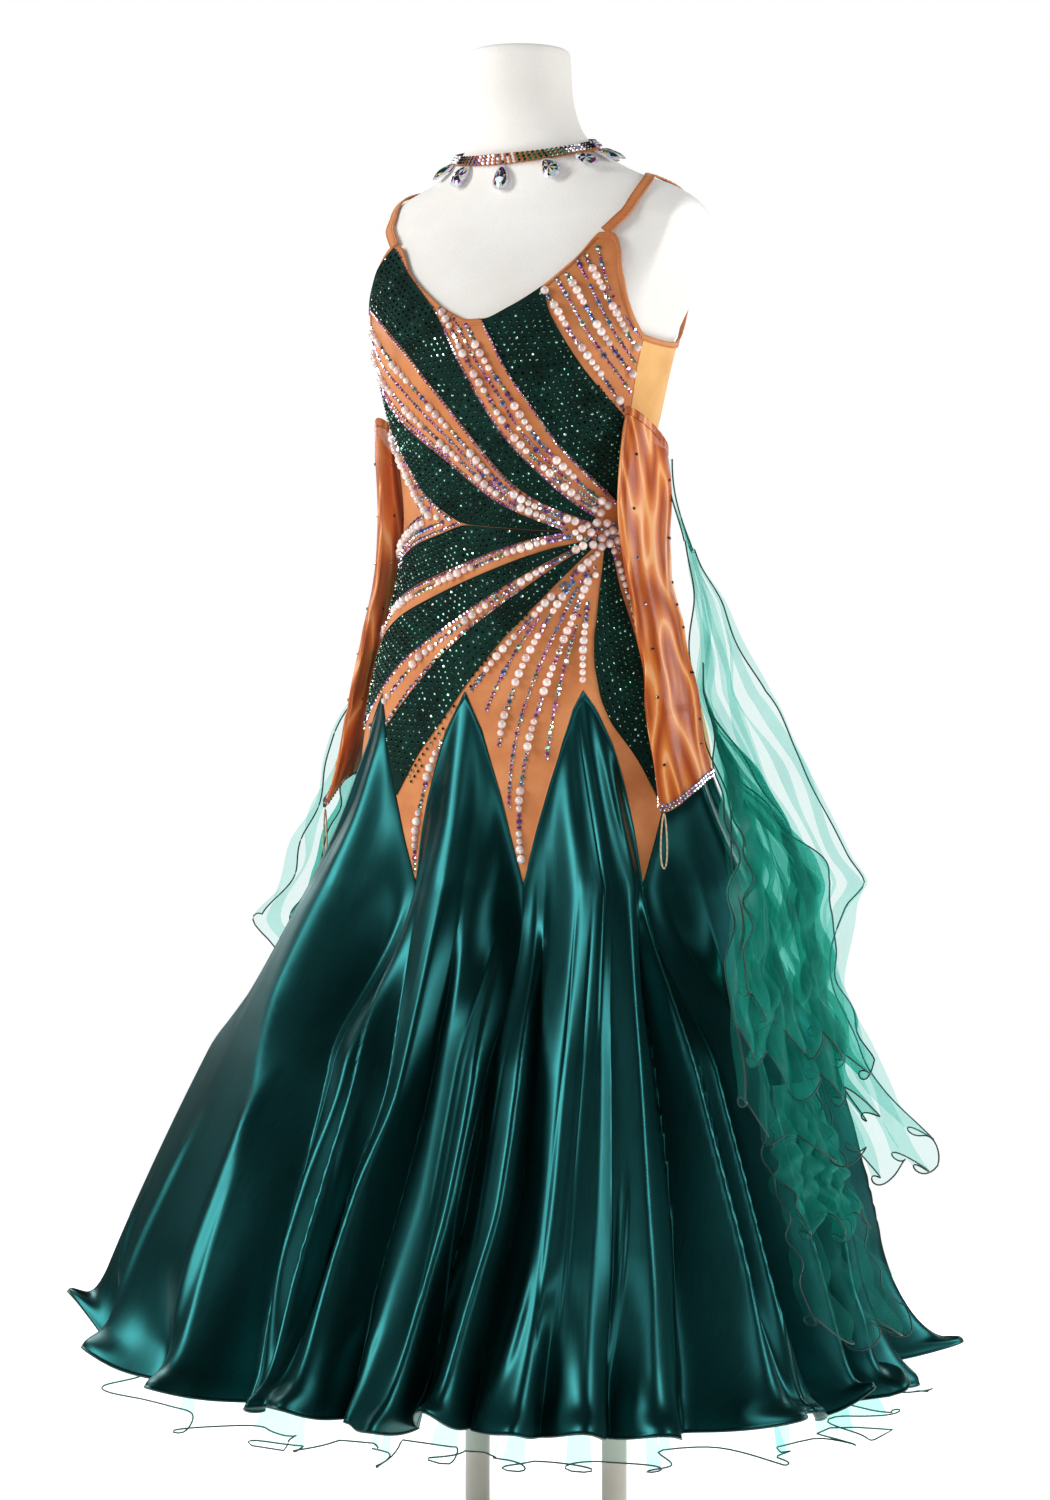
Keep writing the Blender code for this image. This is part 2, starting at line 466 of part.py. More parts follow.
# ---------------------------------------------------------------- pieces
def make_form():
    """The padded torso: its rings follow the body a little inside the dress, up to the cut neck."""
    white = material("form_cover", (0.86, 0.85, 0.83), 0.85)
    heights = np.concatenate([np.linspace(FORM_BOTTOM, 1.18, 13), np.linspace(1.215, 1.33, 5),
                              [1.350, 1.369, 1.381, 1.392, 1.403, 1.416, 1.435, NECK_TOP]])
    turns = np.arange(28) * 360.0 / 28
    rings = []
    for height in heights:
        inset = FORM_INSET * (1 - ease((height - 1.325) / 0.025)) + HIP_EASE * ease((0.95 - height) / 0.06)
        rings.append(body_out(turns, height, -inset * np.ones_like(turns)))
        rings[-1][:, 2] = height
    bottom = rings[0] * [0.93, 0.93, 1.0]
    bottom[:, 2] = FORM_BOTTOM - 0.012
    top = (rings[-1] - [0.0, -0.040, 0.0]) * [0.93, 0.93, 1.0] + [0.0, -0.040, 0.0]
    top[:, 2] = NECK_TOP + 0.003
    loft("form_torso", [bottom] + rings + [top], white)


def make_stand():
    """Two poles from the underside of the torso into a flat round base."""
    steel = material("stand_paint", (0.80, 0.79, 0.76), 0.35)
    around = np.radians(np.arange(12) * 30.0)
    for name, x in (("stand_pole_right", -POLE_SPACING / 2), ("stand_pole_left", POLE_SPACING / 2)):
        rings = [np.stack([x + POLE_RADIUS * np.cos(around), POLE_BACK + POLE_RADIUS * np.sin(around),
                           np.full(12, z)], axis=-1)
                 for z in (BASE_THICK + SEAM_GAP, FORM_BOTTOM - 0.012 - SEAM_GAP)]
        loft(name, rings, steel)
    around = np.radians(np.arange(32) * 11.25)
    rings = [np.stack([r * np.cos(around), r * np.sin(around), np.full(32, z)], axis=-1)
             for r, z in ((BASE_RADIUS - 0.002, 0.0), (BASE_RADIUS, 0.002),
                          (BASE_RADIUS, BASE_THICK - 0.004), (BASE_RADIUS - 0.005, BASE_THICK))]
    loft("stand_base", rings, steel)


def yoke_nodes():
    """(turns, heights) of the yoke's corners, once round from the back godet's first seam."""
    phases = np.arange(FOLDS * YOKE_NODES_PER_FOLD + 1) / YOKE_NODES_PER_FOLD - 0.5
    return yoke_turn(phases), yoke_edge(phases)


def panel_grid(panel):
    """(turns of the columns, heights of the points, inner points, outer points) of a bodice panel."""
    node_turns, node_heights = yoke_nodes()
    node_turns = np.concatenate([node_turns, node_turns[1:] + 360.0])
    node_heights = np.concatenate([node_heights, node_heights[1:]])
    inside = (node_turns > panel.first_turn + 0.5) & (node_turns < panel.last_turn - 0.5)
    turns = np.concatenate([[panel.first_turn + 0.09], node_turns[inside], [panel.last_turn - 0.09]])
    low = np.interp(turns, node_turns, node_heights) + 0.0009
    high = smooth([edge.turn for edge in TOP_EDGE], [edge.height for edge in TOP_EDGE], turns)
    heights = np.concatenate([
        low + (HIP_ROW - low) * np.linspace(0, 1, ROWS_BELOW_HIP + 1)[:-1, None],
        HIP_ROW + (WAIST_ROW - HIP_ROW) * np.linspace(0, 1, ROWS_TO_WAIST + 1)[:-1, None] + 0 * low,
        WAIST_ROW + (high - WAIST_ROW) * np.linspace(0, 1, ROWS_ABOVE + 1)[:, None]])
    inner, outer = (body_out(turns, heights, np.full(heights.shape, rise)) for rise in (SEAM_GAP, SEAM_GAP + CLOTH))
    return turns, heights, inner, outer


def make_bodice():
    """Front, back and side panels: from the neckline down to the points between the godets."""
    tan = material("stretch_cloth", (0.69, 0.29, 0.10), 0.55)
    for panel in PANELS:
        _, _, inner, outer = panel_grid(panel)
        wall(panel.name, inner, outer, tan)


def ray_points(ray, count, side):
    """(turns, heights) along one edge of a band, a hair inside it: side is 1 for the upper edge, -1 for the lower."""
    share = np.linspace(ray.start / ray.reach, 1.0, count)
    angle = math.radians(ray.angle)
    bow = 4 * ray.bow * share * (1 - share) + ray.bend * np.clip((share - KNEE) / (1 - KNEE), 0, 1) + side * SEAM_GAP
    along = ray.reach * share
    right = along * math.cos(angle) - bow * math.sin(angle)
    up = along * math.sin(angle) + bow * math.cos(angle)
    return FOCUS_TURN + right / UNROLL, FOCUS_HEIGHT + up


def keep_on_bodice(turns, heights):
    """Keeps applique a few millimetres inside the front panel's edges."""
    turns = np.clip(turns, PANELS[0].first_turn + 1.2, PANELS[0].last_turn - 1.2)
    node_turns, node_heights = yoke_nodes()
    low = np.interp(turns, node_turns, node_heights) + 0.008
    high = smooth([edge.turn for edge in TOP_EDGE], [edge.height for edge in TOP_EDGE], turns) - 0.005
    return turns, np.clip(heights, low, high)


def make_applique():
    """Curved bands of stretch velvet that fan out from the waist, laid on the front panel."""
    velvet = material("stretch_velvet", (0.012, 0.090, 0.062), 0.8)
    for band in BANDS:
        upper = ray_points(band.upper, BAND_COLUMNS + 1, 1)
        lower = ray_points(band.lower, BAND_COLUMNS + 1, -1)
        share = np.linspace(0.0, 1.0, band.rows + 1)[:, None]
        turns = upper[0] + (lower[0] - upper[0]) * share
        heights = upper[1] + (lower[1] - upper[1]) * share
        turns, heights = keep_on_bodice(turns, heights)
        rise = SEAM_GAP + CLOTH + band.rise
        wall(band.name, body_out(turns, heights, np.full(turns.shape, rise)),
             body_out(turns, heights, np.full(turns.shape, rise + APPLIQUE)), velvet)


def make_skirt():
    """Eight satin godets set into the yoke, from their pointed tops to the lipped hem."""
    satin = material("satin", (0.012, 0.150, 0.135), 0.3, 0.2)
    drops = np.array(SKIRT_ROWS)
    for k, godet in enumerate(GODETS):
        count = len(godet.crests_hem) * COLUMNS_PER_FOLD
        phases = FIRST_FOLD[k] - 0.5 + np.arange(count + 1) / COLUMNS_PER_FOLD
        high, low = yoke_edge(phases) - 0.0009, hem_line(phases)
        heights = high + (low - high) * drops[:, None]
        grid = np.repeat(phases[None, :], len(drops), axis=0)
        normal = outward(skirt, grid, heights, 0.04, 0.002)
        grid[:, 0] += SIDE_GAP + (SIDE_GAP_YOKE - SIDE_GAP) * (1 - drops) ** 3
        grid[:, -1] -= SIDE_GAP + (SIDE_GAP_YOKE - SIDE_GAP) * (1 - drops) ** 3
        inner = skirt(grid, heights) + normal * SEAM_GAP
        wall(godet.name, inner, inner + normal * CLOTH, satin)


def frame_at(turn, height):
    """Outward, downhill and sideways unit vectors of the body's surface."""
    turn, height = np.broadcast_arrays(np.asarray(turn, float), np.asarray(height, float))
    out = outward(body, turn, height, 0.5, 0.002)
    down = unit(body(turn, height - 0.002) - body(turn, height + 0.002))
    return out, down, unit(np.cross(out, down))


def make_straps():
    tan = material("stretch_cloth", (0.69, 0.29, 0.10), 0.55)
    for name, path in (("strap_left", STRAP_LEFT), ("strap_right", STRAP_RIGHT)):
        steps, share = np.arange(len(path)), np.linspace(0, len(path) - 1, STRAP_STEPS)
        turns = np.interp(share, steps, [row.turn for row in path])
        heights = np.interp(share, steps, [row.height for row in path])
        turns[1:-1] = (turns[:-2] + 2 * turns[1:-1] + turns[2:]) / 4
        heights[1:-1] = (heights[:-2] + 2 * heights[1:-1] + heights[2:]) / 4
        rise = 0.0011
        middle = body_out(turns, heights, np.full(turns.shape, rise))
        out = outward(body, turns, heights, 0.5, 0.002)
        side = unit(np.cross(unit(np.gradient(middle, axis=0)), out))
        level = unit(np.cross([0, 0, 1.0], out))
        level *= np.sign(np.sum(level * side, axis=1))[:, None]
        near_end = 1 - ease(np.minimum(np.arange(STRAP_STEPS), np.arange(STRAP_STEPS)[::-1]) / 3.0)
        side = unit(side + (level - side) * near_end[:, None])
        cross = np.array([-0.5, 0.0, 0.5])[None, :, None] * STRAP_WIDTH
        inner = middle[:, None, :] + side[:, None, :] * cross
        wall(name, inner, inner + out[:, None, :] * STRAP, tan)


def choker_height(turn):
    return CHOKER_HEIGHT - CHOKER_TILT * np.cos(np.radians(turn))


def make_choker():
    tan = material("stretch_cloth", (0.69, 0.29, 0.10), 0.55)
    stone = material("crystal", (0.75, 0.80, 0.85), 0.05)
    turns = np.arange(24) * 15.0
    out, down, _ = frame_at(turns, choker_height(turns))
    middle = body_out(turns, choker_height(turns), np.full(turns.shape, 0.0016))
    rows = np.array([-0.5, 0.5])[:, None, None] * CHOKER_WIDTH
    inner = middle + down * rows
    wall("choker_band", inner, inner + out * 0.0014, tan, ring=True)
    around = np.radians(np.arange(6) * 60.0)
    pear = np.stack([np.sin(around) * (1 - 0.28 * np.cos(around)) * 0.5 * DROP_WIDE,
                     -np.cos(around) * 0.5 * DROP_LONG], axis=-1)
    for k, turn in enumerate(DROP_TURNS):
        height = float(choker_height(turn))
        for _ in range(8):
            out, down, side = frame_at(turn, height)
            height += down[2] * (CHOKER_WIDTH / 2 + SEAM_GAP + DROP_LONG / 2 + 0.001) / 8
        top_out, top_down, _ = frame_at(turn, choker_height(turn))
        top = body_out(turn, choker_height(turn), 0.0028) + top_down * (CHOKER_WIDTH / 2 + 0.0002)
        low = body_out(turn, height, 0.0052)
        down = unit(low - top)
        out = unit(out - down * np.dot(out, down))
        side = np.cross(out, down)
        middle = top + down * DROP_LONG / 2
        rings = [middle + out * lift + (side * pear[:, :1] + down * pear[:, 1:]) * scale
                 for lift, scale in ((-DROP_THICK * 0.35, 0.62), (0.0, 1.0), (DROP_THICK * 0.65, 0.5))]
        loft(f"choker_drop_{k + 1:02d}", rings, stone)


def armlet_rows(side, cuffs, count):
    """Evenly spaced rows of an armlet: centres, outward and front-to-back vectors, half breadths and depths."""
    heights = np.linspace(cuffs[0].height, cuffs[-1].height, count)
    turns, breadths, depths = (column(cuffs, name, heights) for name in ("turn", "half_breadth", "half_depth"))
    level = np.maximum(heights, YOKE_LOW)
    crest = ellipse(turns, column(SKIRT, "half_width", level), column(SKIRT, "front_depth", level),
                    column(SKIRT, "back_depth", level), 0.0, -0.015, heights)
    base = np.where((heights < 0.860)[:, None], crest, body(turns, heights))
    out = outward(body, turns, heights, 0.5, 0.002)
    out[:, 2] = 0
    out = unit(out)
    clear = ARMLET_CLEAR[side] + 0.003 * ease((0.90 - heights) / 0.08)
    centres = base + out * (clear + depths)[:, None]
    front = unit(np.cross(out, [0, 0, 1.0]))
    front *= -np.sign(front[:, 1:2])
    return centres, out, front, breadths, depths


def make_armlets():
    mesh_cloth = material("stretch_mesh", (0.72, 0.30, 0.12), 0.5)
    elastic = material("elastic", (0.60, 0.40, 0.28), 0.6)
    around = np.radians(np.arange(12) * 30.0)
    for side, cuffs in (("left", ARMLET_LEFT), ("right", ARMLET_RIGHT)):
        centres, out, front, breadths, depths = armlet_rows(side, cuffs, 9)
        rows = len(centres)
        down_share = np.linspace(0, 1, rows)

        def ring(k, thinner, extra=0.0):
            middle = centres[k] + extra * np.array([0, 0, -1.0])
            points = (middle + np.cos(around)[:, None] * front[k] * (breadths[k] - thinner)
                      + np.sin(around)[:, None] * out[k] * (depths[k] - thinner))
            points[:, 2] += TOP_TILT * np.cos(around) * (1 - ease(down_share[k] * 3))
            drop = ease((down_share[k] - 0.72) / 0.28)
            points[:, 2] -= drop * POINT_DROP * np.clip(0.5 + 0.5 * np.cos(around - 0.45), 0, 1) ** 2
            return points

        outer = np.stack([ring(k, 0.0) for k in range(rows)])
        inner = np.stack([ring(k, ARMLET_WALL) for k in range(rows)])
        wall(f"armlet_{side}", inner, outer, mesh_cloth, ring=True)
        lift = np.array([0, 0, 1.0])
        low_out, low_in = outer[0] + lift * SEAM_GAP, inner[0] + lift * SEAM_GAP
        wall(f"armlet_band_{side}", np.stack([low_in, low_in + lift * BAND_TALL]),
             np.stack([low_out, low_out + lift * BAND_TALL]), mesh_cloth, ring=True)
        tip = outer[-1][np.argmin(outer[-1][:, 2])]
        step = np.radians(np.arange(12) * 30.0)
        middle = tip + np.array([0, 0, -LOOP_LONG / 2 - LOOP_CORD - SEAM_GAP]) - out[-1] * 0.0005
        line = (middle + np.sin(step)[:, None] * front[-1] * LOOP_WIDE / 2
                + np.cos(step)[:, None] * np.array([0, 0, LOOP_LONG / 2]))
        outwards = unit(line - middle)
        tube = np.stack([line + LOOP_CORD * (math.cos(a) * outwards + math.sin(a) * out[-1])
                         for a in np.radians([0, 90, 180, 270])])
        cord_ring(f"finger_loop_{side}", tube, elastic)


def cord_ring(name, tube, finish):
    """A closed ring of cord: its first axis goes round the cord, its second along the ring."""
    sides, count = tube.shape[:2]
    faces = [(i * count + k, i * count + (k + 1) % count, (i + 1) % sides * count + (k + 1) % count,
              (i + 1) % sides * count + k) for i in range(sides) for k in range(count)]
    return solid(name, tube.reshape(-1, 3), faces, finish)


def float_surface(rows, share, height):
    """A point of a float: `share` runs from 0 at its near edge to 1 at its free edge."""
    share, height = np.broadcast_arrays(np.asarray(share, float), np.asarray(height, float))
    at = {name: column(rows, name, height) for name in Row._fields}
    phase = at["near"] + (at["free"] - at["near"]) * share
    curl = 0.5 - 0.5 * np.cos(2 * math.pi * FLOAT_WAVES * share + 5.0 * (1.1 - height))
    rise = at["near_rise"] + (at["free_rise"] - at["near_rise"]) * share ** 2 + at["wave"] * curl
    base = skirt(phase, height, hull=True)
    return base + outward_from_axis(base) * rise[..., None]


def make_floats():
    organza = material("organza", (0.10, 0.52, 0.45), 0.4)
    for name, rows, lows in (("float_left", FLOAT_LEFT, FLOAT_LEFT_LOW), ("float_right", FLOAT_RIGHT, FLOAT_RIGHT_LOW),
                             ("float_left_tail", FLOAT_TAIL, FLOAT_TAIL_LOW)):
        share = np.linspace(0, 1, 8 if rows is FLOAT_TAIL else 13)
        low = np.interp(share, [row.share for row in lows], [row.height for row in lows])
        heights = rows[0].height + (low - rows[0].height) * np.linspace(0, 1, 7 if rows is FLOAT_TAIL else 10)[:, None]
        inner = float_surface(rows, share, heights)
        if rows is not FLOAT_TAIL:
            side = name.split("_")[1]
            centres, _, front, breadths, _ = armlet_rows(side, ARMLET_LEFT if side == "left" else ARMLET_RIGHT, 9)
            ring_back = centres[0] - front[0] * (breadths[0] + SEAM_GAP) - [0, 0, TOP_TILT]
            inner[0] = ring_back - front[0] * 0.009 * (share[:, None] if side == "left" else 1 - share[:, None])
        wall(name, inner, inner + outward_from_axis(inner) * ORGANZA, organza)


def outward_from_axis(points):
    away = points.copy()
    away[..., 2] = 0
    return unit(away)


def make_underskirt():
    """The flounce under the hem: its top lies on the godets' inner face, its lower edge hangs free of them."""
    organza = material("organza", (0.10, 0.52, 0.45), 0.4)
    phases = np.arange(FOLDS * COLUMNS_PER_FOLD) / COLUMNS_PER_FOLD - 0.5
    high, low = yoke_edge(phases) - 0.0009, hem_line(phases)
    share, free = (np.array(part)[:, None] for part in zip(*UNDER_ROWS))
    level = high + (low - high) * share
    away = 0.0002 + UNDER_AWAY * free
    grid = np.broadcast_to(phases, level.shape)
    inner, outer = (skirt_out(grid, level, -(away + more) * np.ones_like(level)) for more in (ORGANZA, 0.0))
    for points in (inner, outer):
        points[..., 2] -= UNDER_LONGER * free ** 2
    wall("underskirt", inner, outer, organza, ring=True)


def main():
    for old in list(bpy.data.objects):
        bpy.data.objects.remove(old, do_unlink=True)
    make_form()
    make_stand()
    make_bodice()
    make_applique()
    make_skirt()
    make_underskirt()
    make_straps()
    make_choker()
    make_armlets()
    make_floats()


main()
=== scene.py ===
"""Looks of a sleeveless ballroom dance dress with loose armlets, floats and choker, on a limbless dress form.

Metres, +Z up, +X to the wearer's left, the wearer faces -Y. A point of the garment is given by its turn round the
body (degrees, 0 at the centre front, + to the wearer's left) and its height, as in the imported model, whose own
values the tables below repeat. Each cloth is a fine thin wall or a single sheet on the form of its solid. All
tables are rows of the named tuples that stand before them.
"""

import math
from collections import namedtuple

import bpy
import numpy as np
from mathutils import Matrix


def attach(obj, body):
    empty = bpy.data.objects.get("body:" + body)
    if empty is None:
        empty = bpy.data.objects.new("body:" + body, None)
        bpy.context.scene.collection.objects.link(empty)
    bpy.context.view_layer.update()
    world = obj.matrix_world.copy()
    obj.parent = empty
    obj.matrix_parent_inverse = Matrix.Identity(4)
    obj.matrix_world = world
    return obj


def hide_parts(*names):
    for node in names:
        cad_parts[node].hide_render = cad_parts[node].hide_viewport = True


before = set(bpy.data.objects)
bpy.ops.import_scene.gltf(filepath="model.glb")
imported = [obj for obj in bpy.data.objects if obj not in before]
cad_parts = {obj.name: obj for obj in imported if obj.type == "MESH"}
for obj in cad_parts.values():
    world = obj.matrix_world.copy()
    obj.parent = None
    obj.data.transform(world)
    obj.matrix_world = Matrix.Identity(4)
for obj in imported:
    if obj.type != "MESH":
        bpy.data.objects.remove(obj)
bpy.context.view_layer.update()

# ---------------------------------------------------------------- sizes
SEAM_GAP = 0.0003            # between pieces that are sewn together
SEAM_TURN = 0.09             # from a panel's edge to its seam, in degrees
CLOTH = 0.0016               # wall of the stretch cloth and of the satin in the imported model
# Walls of the cloths as they are shown.
BODICE_WALL, VELVET_WALL, SATIN_WALL = 0.0009, 0.0008, 0.0007
CHOKER_WALL, STRAP_WALL, ELASTIC_WALL = 0.0013, 0.0014, 0.0010
FORM_INSET = 0.0032          # the form lies this far inside the dress
HIP_EASE = 0.0020            # and this much more below the hip
TIP_HEIGHT = 0.872           # tops of the godets
YOKE_LOW = 0.686             # lowest points of the bodice, between the godets
LANCET = 1.42                # 1 makes straight-sided godet tops, 2 round ones
VALLEY_DROP = 0.17           # below the yoke's points the valleys open out over this much
HEM_HEIGHT = 0.206
HEM_TILT = 0.020             # the hem rises this much towards the wearer's front right
NECK_TOP = 1.503
FORM_BOTTOM = 0.662
POLE_SPACING = 0.158
POLE_RADIUS = 0.0125
POLE_BACK = 0.010
BASE_RADIUS = 0.19
BASE_THICK = 0.012

# Sections of the form and the bodice on it: ellipses, deeper or shallower in front than behind.
Section = namedtuple("Section", "height half_width front_depth back_depth centre_y")
BODY = [Section(*row) for row in [
    (0.64, 0.174, 0.129, 0.134, -0.012), (0.69, 0.177, 0.132, 0.138, -0.012), (0.745, 0.181, 0.136, 0.144, -0.012),
    (0.8, 0.182, 0.136, 0.145, -0.012), (0.865, 0.172, 0.129, 0.134, -0.015), (0.93, 0.152, 0.115, 0.115, -0.022),
    (0.985, 0.133, 0.104, 0.1, -0.028), (1.045, 0.125, 0.1, 0.095, -0.03), (1.1, 0.13, 0.105, 0.097, -0.03),
    (1.15, 0.141, 0.118, 0.105, -0.029), (1.195, 0.151, 0.13, 0.112, -0.028), (1.215, 0.157, 0.127, 0.114, -0.027),
    (1.24, 0.168, 0.119, 0.117, -0.023), (1.27, 0.184, 0.108, 0.12, -0.018), (1.3, 0.197, 0.095, 0.119, -0.012),
    (1.33, 0.2, 0.082, 0.111, -0.008), (1.35, 0.18, 0.073, 0.101, -0.006), (1.369, 0.15, 0.066, 0.09, -0.007),
    (1.381, 0.118, 0.062, 0.08, -0.009), (1.392, 0.096, 0.059, 0.071, -0.012), (1.403, 0.079, 0.056, 0.063, -0.016),
    (1.416, 0.064, 0.053, 0.056, -0.022), (1.435, 0.055, 0.051, 0.052, -0.03), (1.46, 0.051, 0.05, 0.05, -0.036),
    (NECK_TOP, 0.05, 0.05, 0.05, -0.04),
]]
# The flat plates at the shoulders cut the sections off at this half width.
Plate = namedtuple("Plate", "height half_width")
ARM_PLATES = [Plate(*row) for row in [
    (1.19, 0.175), (1.212, 0.16), (1.24, 0.16), (1.29, 0.169), (1.33, 0.176), (1.369, 0.181), (1.4, 0.21),
]]
# Crests of the skirt's folds, down to the yoke's points and then straight to the hem.
Flare = namedtuple("Flare", "height half_width front_depth back_depth")
SKIRT = [Flare(*row) for row in [
    (0.872, 0.1703, 0.1278, 0.1322), (0.826, 0.185, 0.137, 0.145), (0.795, 0.1985, 0.144, 0.154),
    (0.754, 0.216, 0.153, 0.167), (0.686, 0.25, 0.177, 0.192),
]]
HEM_SECTION = Flare(0.170, 0.4220, 0.4200, 0.4150)
SKIRT_CENTRE = -0.015        # y of the axis of the skirt's sections
BULGE = 0.012                # the skirt stands this much outside the straight line, half way down
HEM_SWING = 0.048            # the hem's centre lies this far off the axis, towards SWING_TURN
Reach = namedtuple("Reach", "height fold_depth")
FOLD_DEPTHS = [Reach(*row) for row in [
    (0.872, 0.0), (0.826, 0.002), (0.754, 0.0065), (0.69, 0.0105), (0.57, 0.016), (0.45, 0.0205), (0.35, 0.024),
    (0.29, 0.027), (0.17, 0.033),
]]
SWING_TURN = -60.0           # the skirt swings towards this side

# The eight godets, with the turn of the seam before each (at the yoke and at the hem) and of each fold's crest.
Godet = namedtuple("Godet", "name seam_yoke seam_hem crests_hem")
GODETS = [Godet(*row) for row in [
    ("godet_back", -200.0, -195.0, (-189.0, -176.0, -163.0)),
    ("godet_back_right", -160.0, -157.0, (-150.0, -138.0, -126.0)),
    ("godet_right", -115.0, -120.0, (-114.0, -102.0, -89.0, -76.0)),
    ("godet_front_right", -65.0, -69.0, (-61.0, -44.0, -28.0, -13.0)),
    ("godet_front", -20.0, -6.0, (-0.5, 7.5, 17.5)), ("godet_front_left", 20.0, 21.5, (25.5, 34.0, 43.5, 54.0, 69.0)),
    ("godet_left", 62.0, 76.0, (83.0, 95.0, 107.0, 119.0)), ("godet_back_left", 112.0, 126.0, (132.0, 145.0, 158.0)),
]]
YOKE_NODES_PER_FOLD = 2      # corners of the yoke's edge over each fold
YOKE_TRIM = 0.0008           # the shown cloth ends this far from the yoke's seam

# How each fold differs: its depth against the table's, how far its hem lip stands out, and how far it is lifted.
Lip = namedtuple("Lip", "depth_share lip lift")
LIPS = [Lip(*row) for row in [
    (1.0, 0.022, 0.0), (0.8, 0.014, 0.0), (1.1, 0.026, 0.008), (0.9, 0.016, 0.0), (1.1, 0.028, 0.01),
    (0.8, 0.016, 0.0), (1.0, 0.026, 0.008), (0.8, 0.014, 0.0), (1.1, 0.026, 0.016), (0.9, 0.013, 0.008),
    (1.1, 0.004, 0.044), (0.8, 0.004, 0.006), (0.9, 0.008, 0.0), (0.9, 0.014, -0.004), (1.0, 0.02, -0.008),
    (0.8, 0.01, -0.002), (1.1, 0.016, -0.008), (1.0, 0.014, 0.002), (0.8, 0.01, -0.004), (0.7, 0.012, -0.002),
    (0.9, 0.014, -0.01), (1.1, 0.022, 0.0), (1.0, 0.024, -0.002), (0.9, 0.026, 0.004), (1.1, 0.034, 0.016),
    (1.0, 0.046, 0.036), (0.9, 0.026, 0.006), (0.8, 0.016, 0.0), (1.0, 0.022, 0.006),
]]
LIP_START = 0.120            # the lip turns out over this much of the skirt above the hem

# Upper edge of the bodice: neckline, straps' corners, armholes, and the low curve of the back.
Edge = namedtuple("Edge", "turn height")
TOP_EDGE = [Edge(*row) for row in [
    (-122.5, 1.222), (-110.0, 1.2155), (-95.0, 1.2125), (-77.5, 1.214), (-68.0, 1.226), (-58.0, 1.248), (-48.0, 1.28),
    (-38.5, 1.315), (-34.5, 1.315), (-26.0, 1.283), (-16.0, 1.257), (-6.0, 1.238), (3.0, 1.2285), (8.0, 1.2285),
    (16.0, 1.24), (24.0, 1.259), (30.0, 1.284), (35.5, 1.313), (39.0, 1.313), (48.0, 1.279), (58.0, 1.247),
    (68.0, 1.225), (74.5, 1.2155), (90.0, 1.2125), (108.0, 1.2155), (120.0, 1.222), (128.0, 1.19), (140.0, 1.125),
    (155.0, 1.065), (170.0, 1.036), (179.0, 1.032), (190.0, 1.038), (205.0, 1.068), (220.0, 1.13), (230.0, 1.183),
    (237.5, 1.222),
]]
Panel = namedtuple("Panel", "name first_turn last_turn")
PANELS = [Panel(*row) for row in [
    ("bodice_front", -77.5, 74.5), ("bodice_side_left", 74.5, 120.0), ("bodice_back", 120.0, 237.5),
    ("bodice_side_right", -122.5, -77.5),
]]
UNROLL = 0.0023              # metres of cloth for one degree of turn
TURN_STEP, HEIGHT_STEP = 0.5, 0.002     # small steps over the body, which give its slope
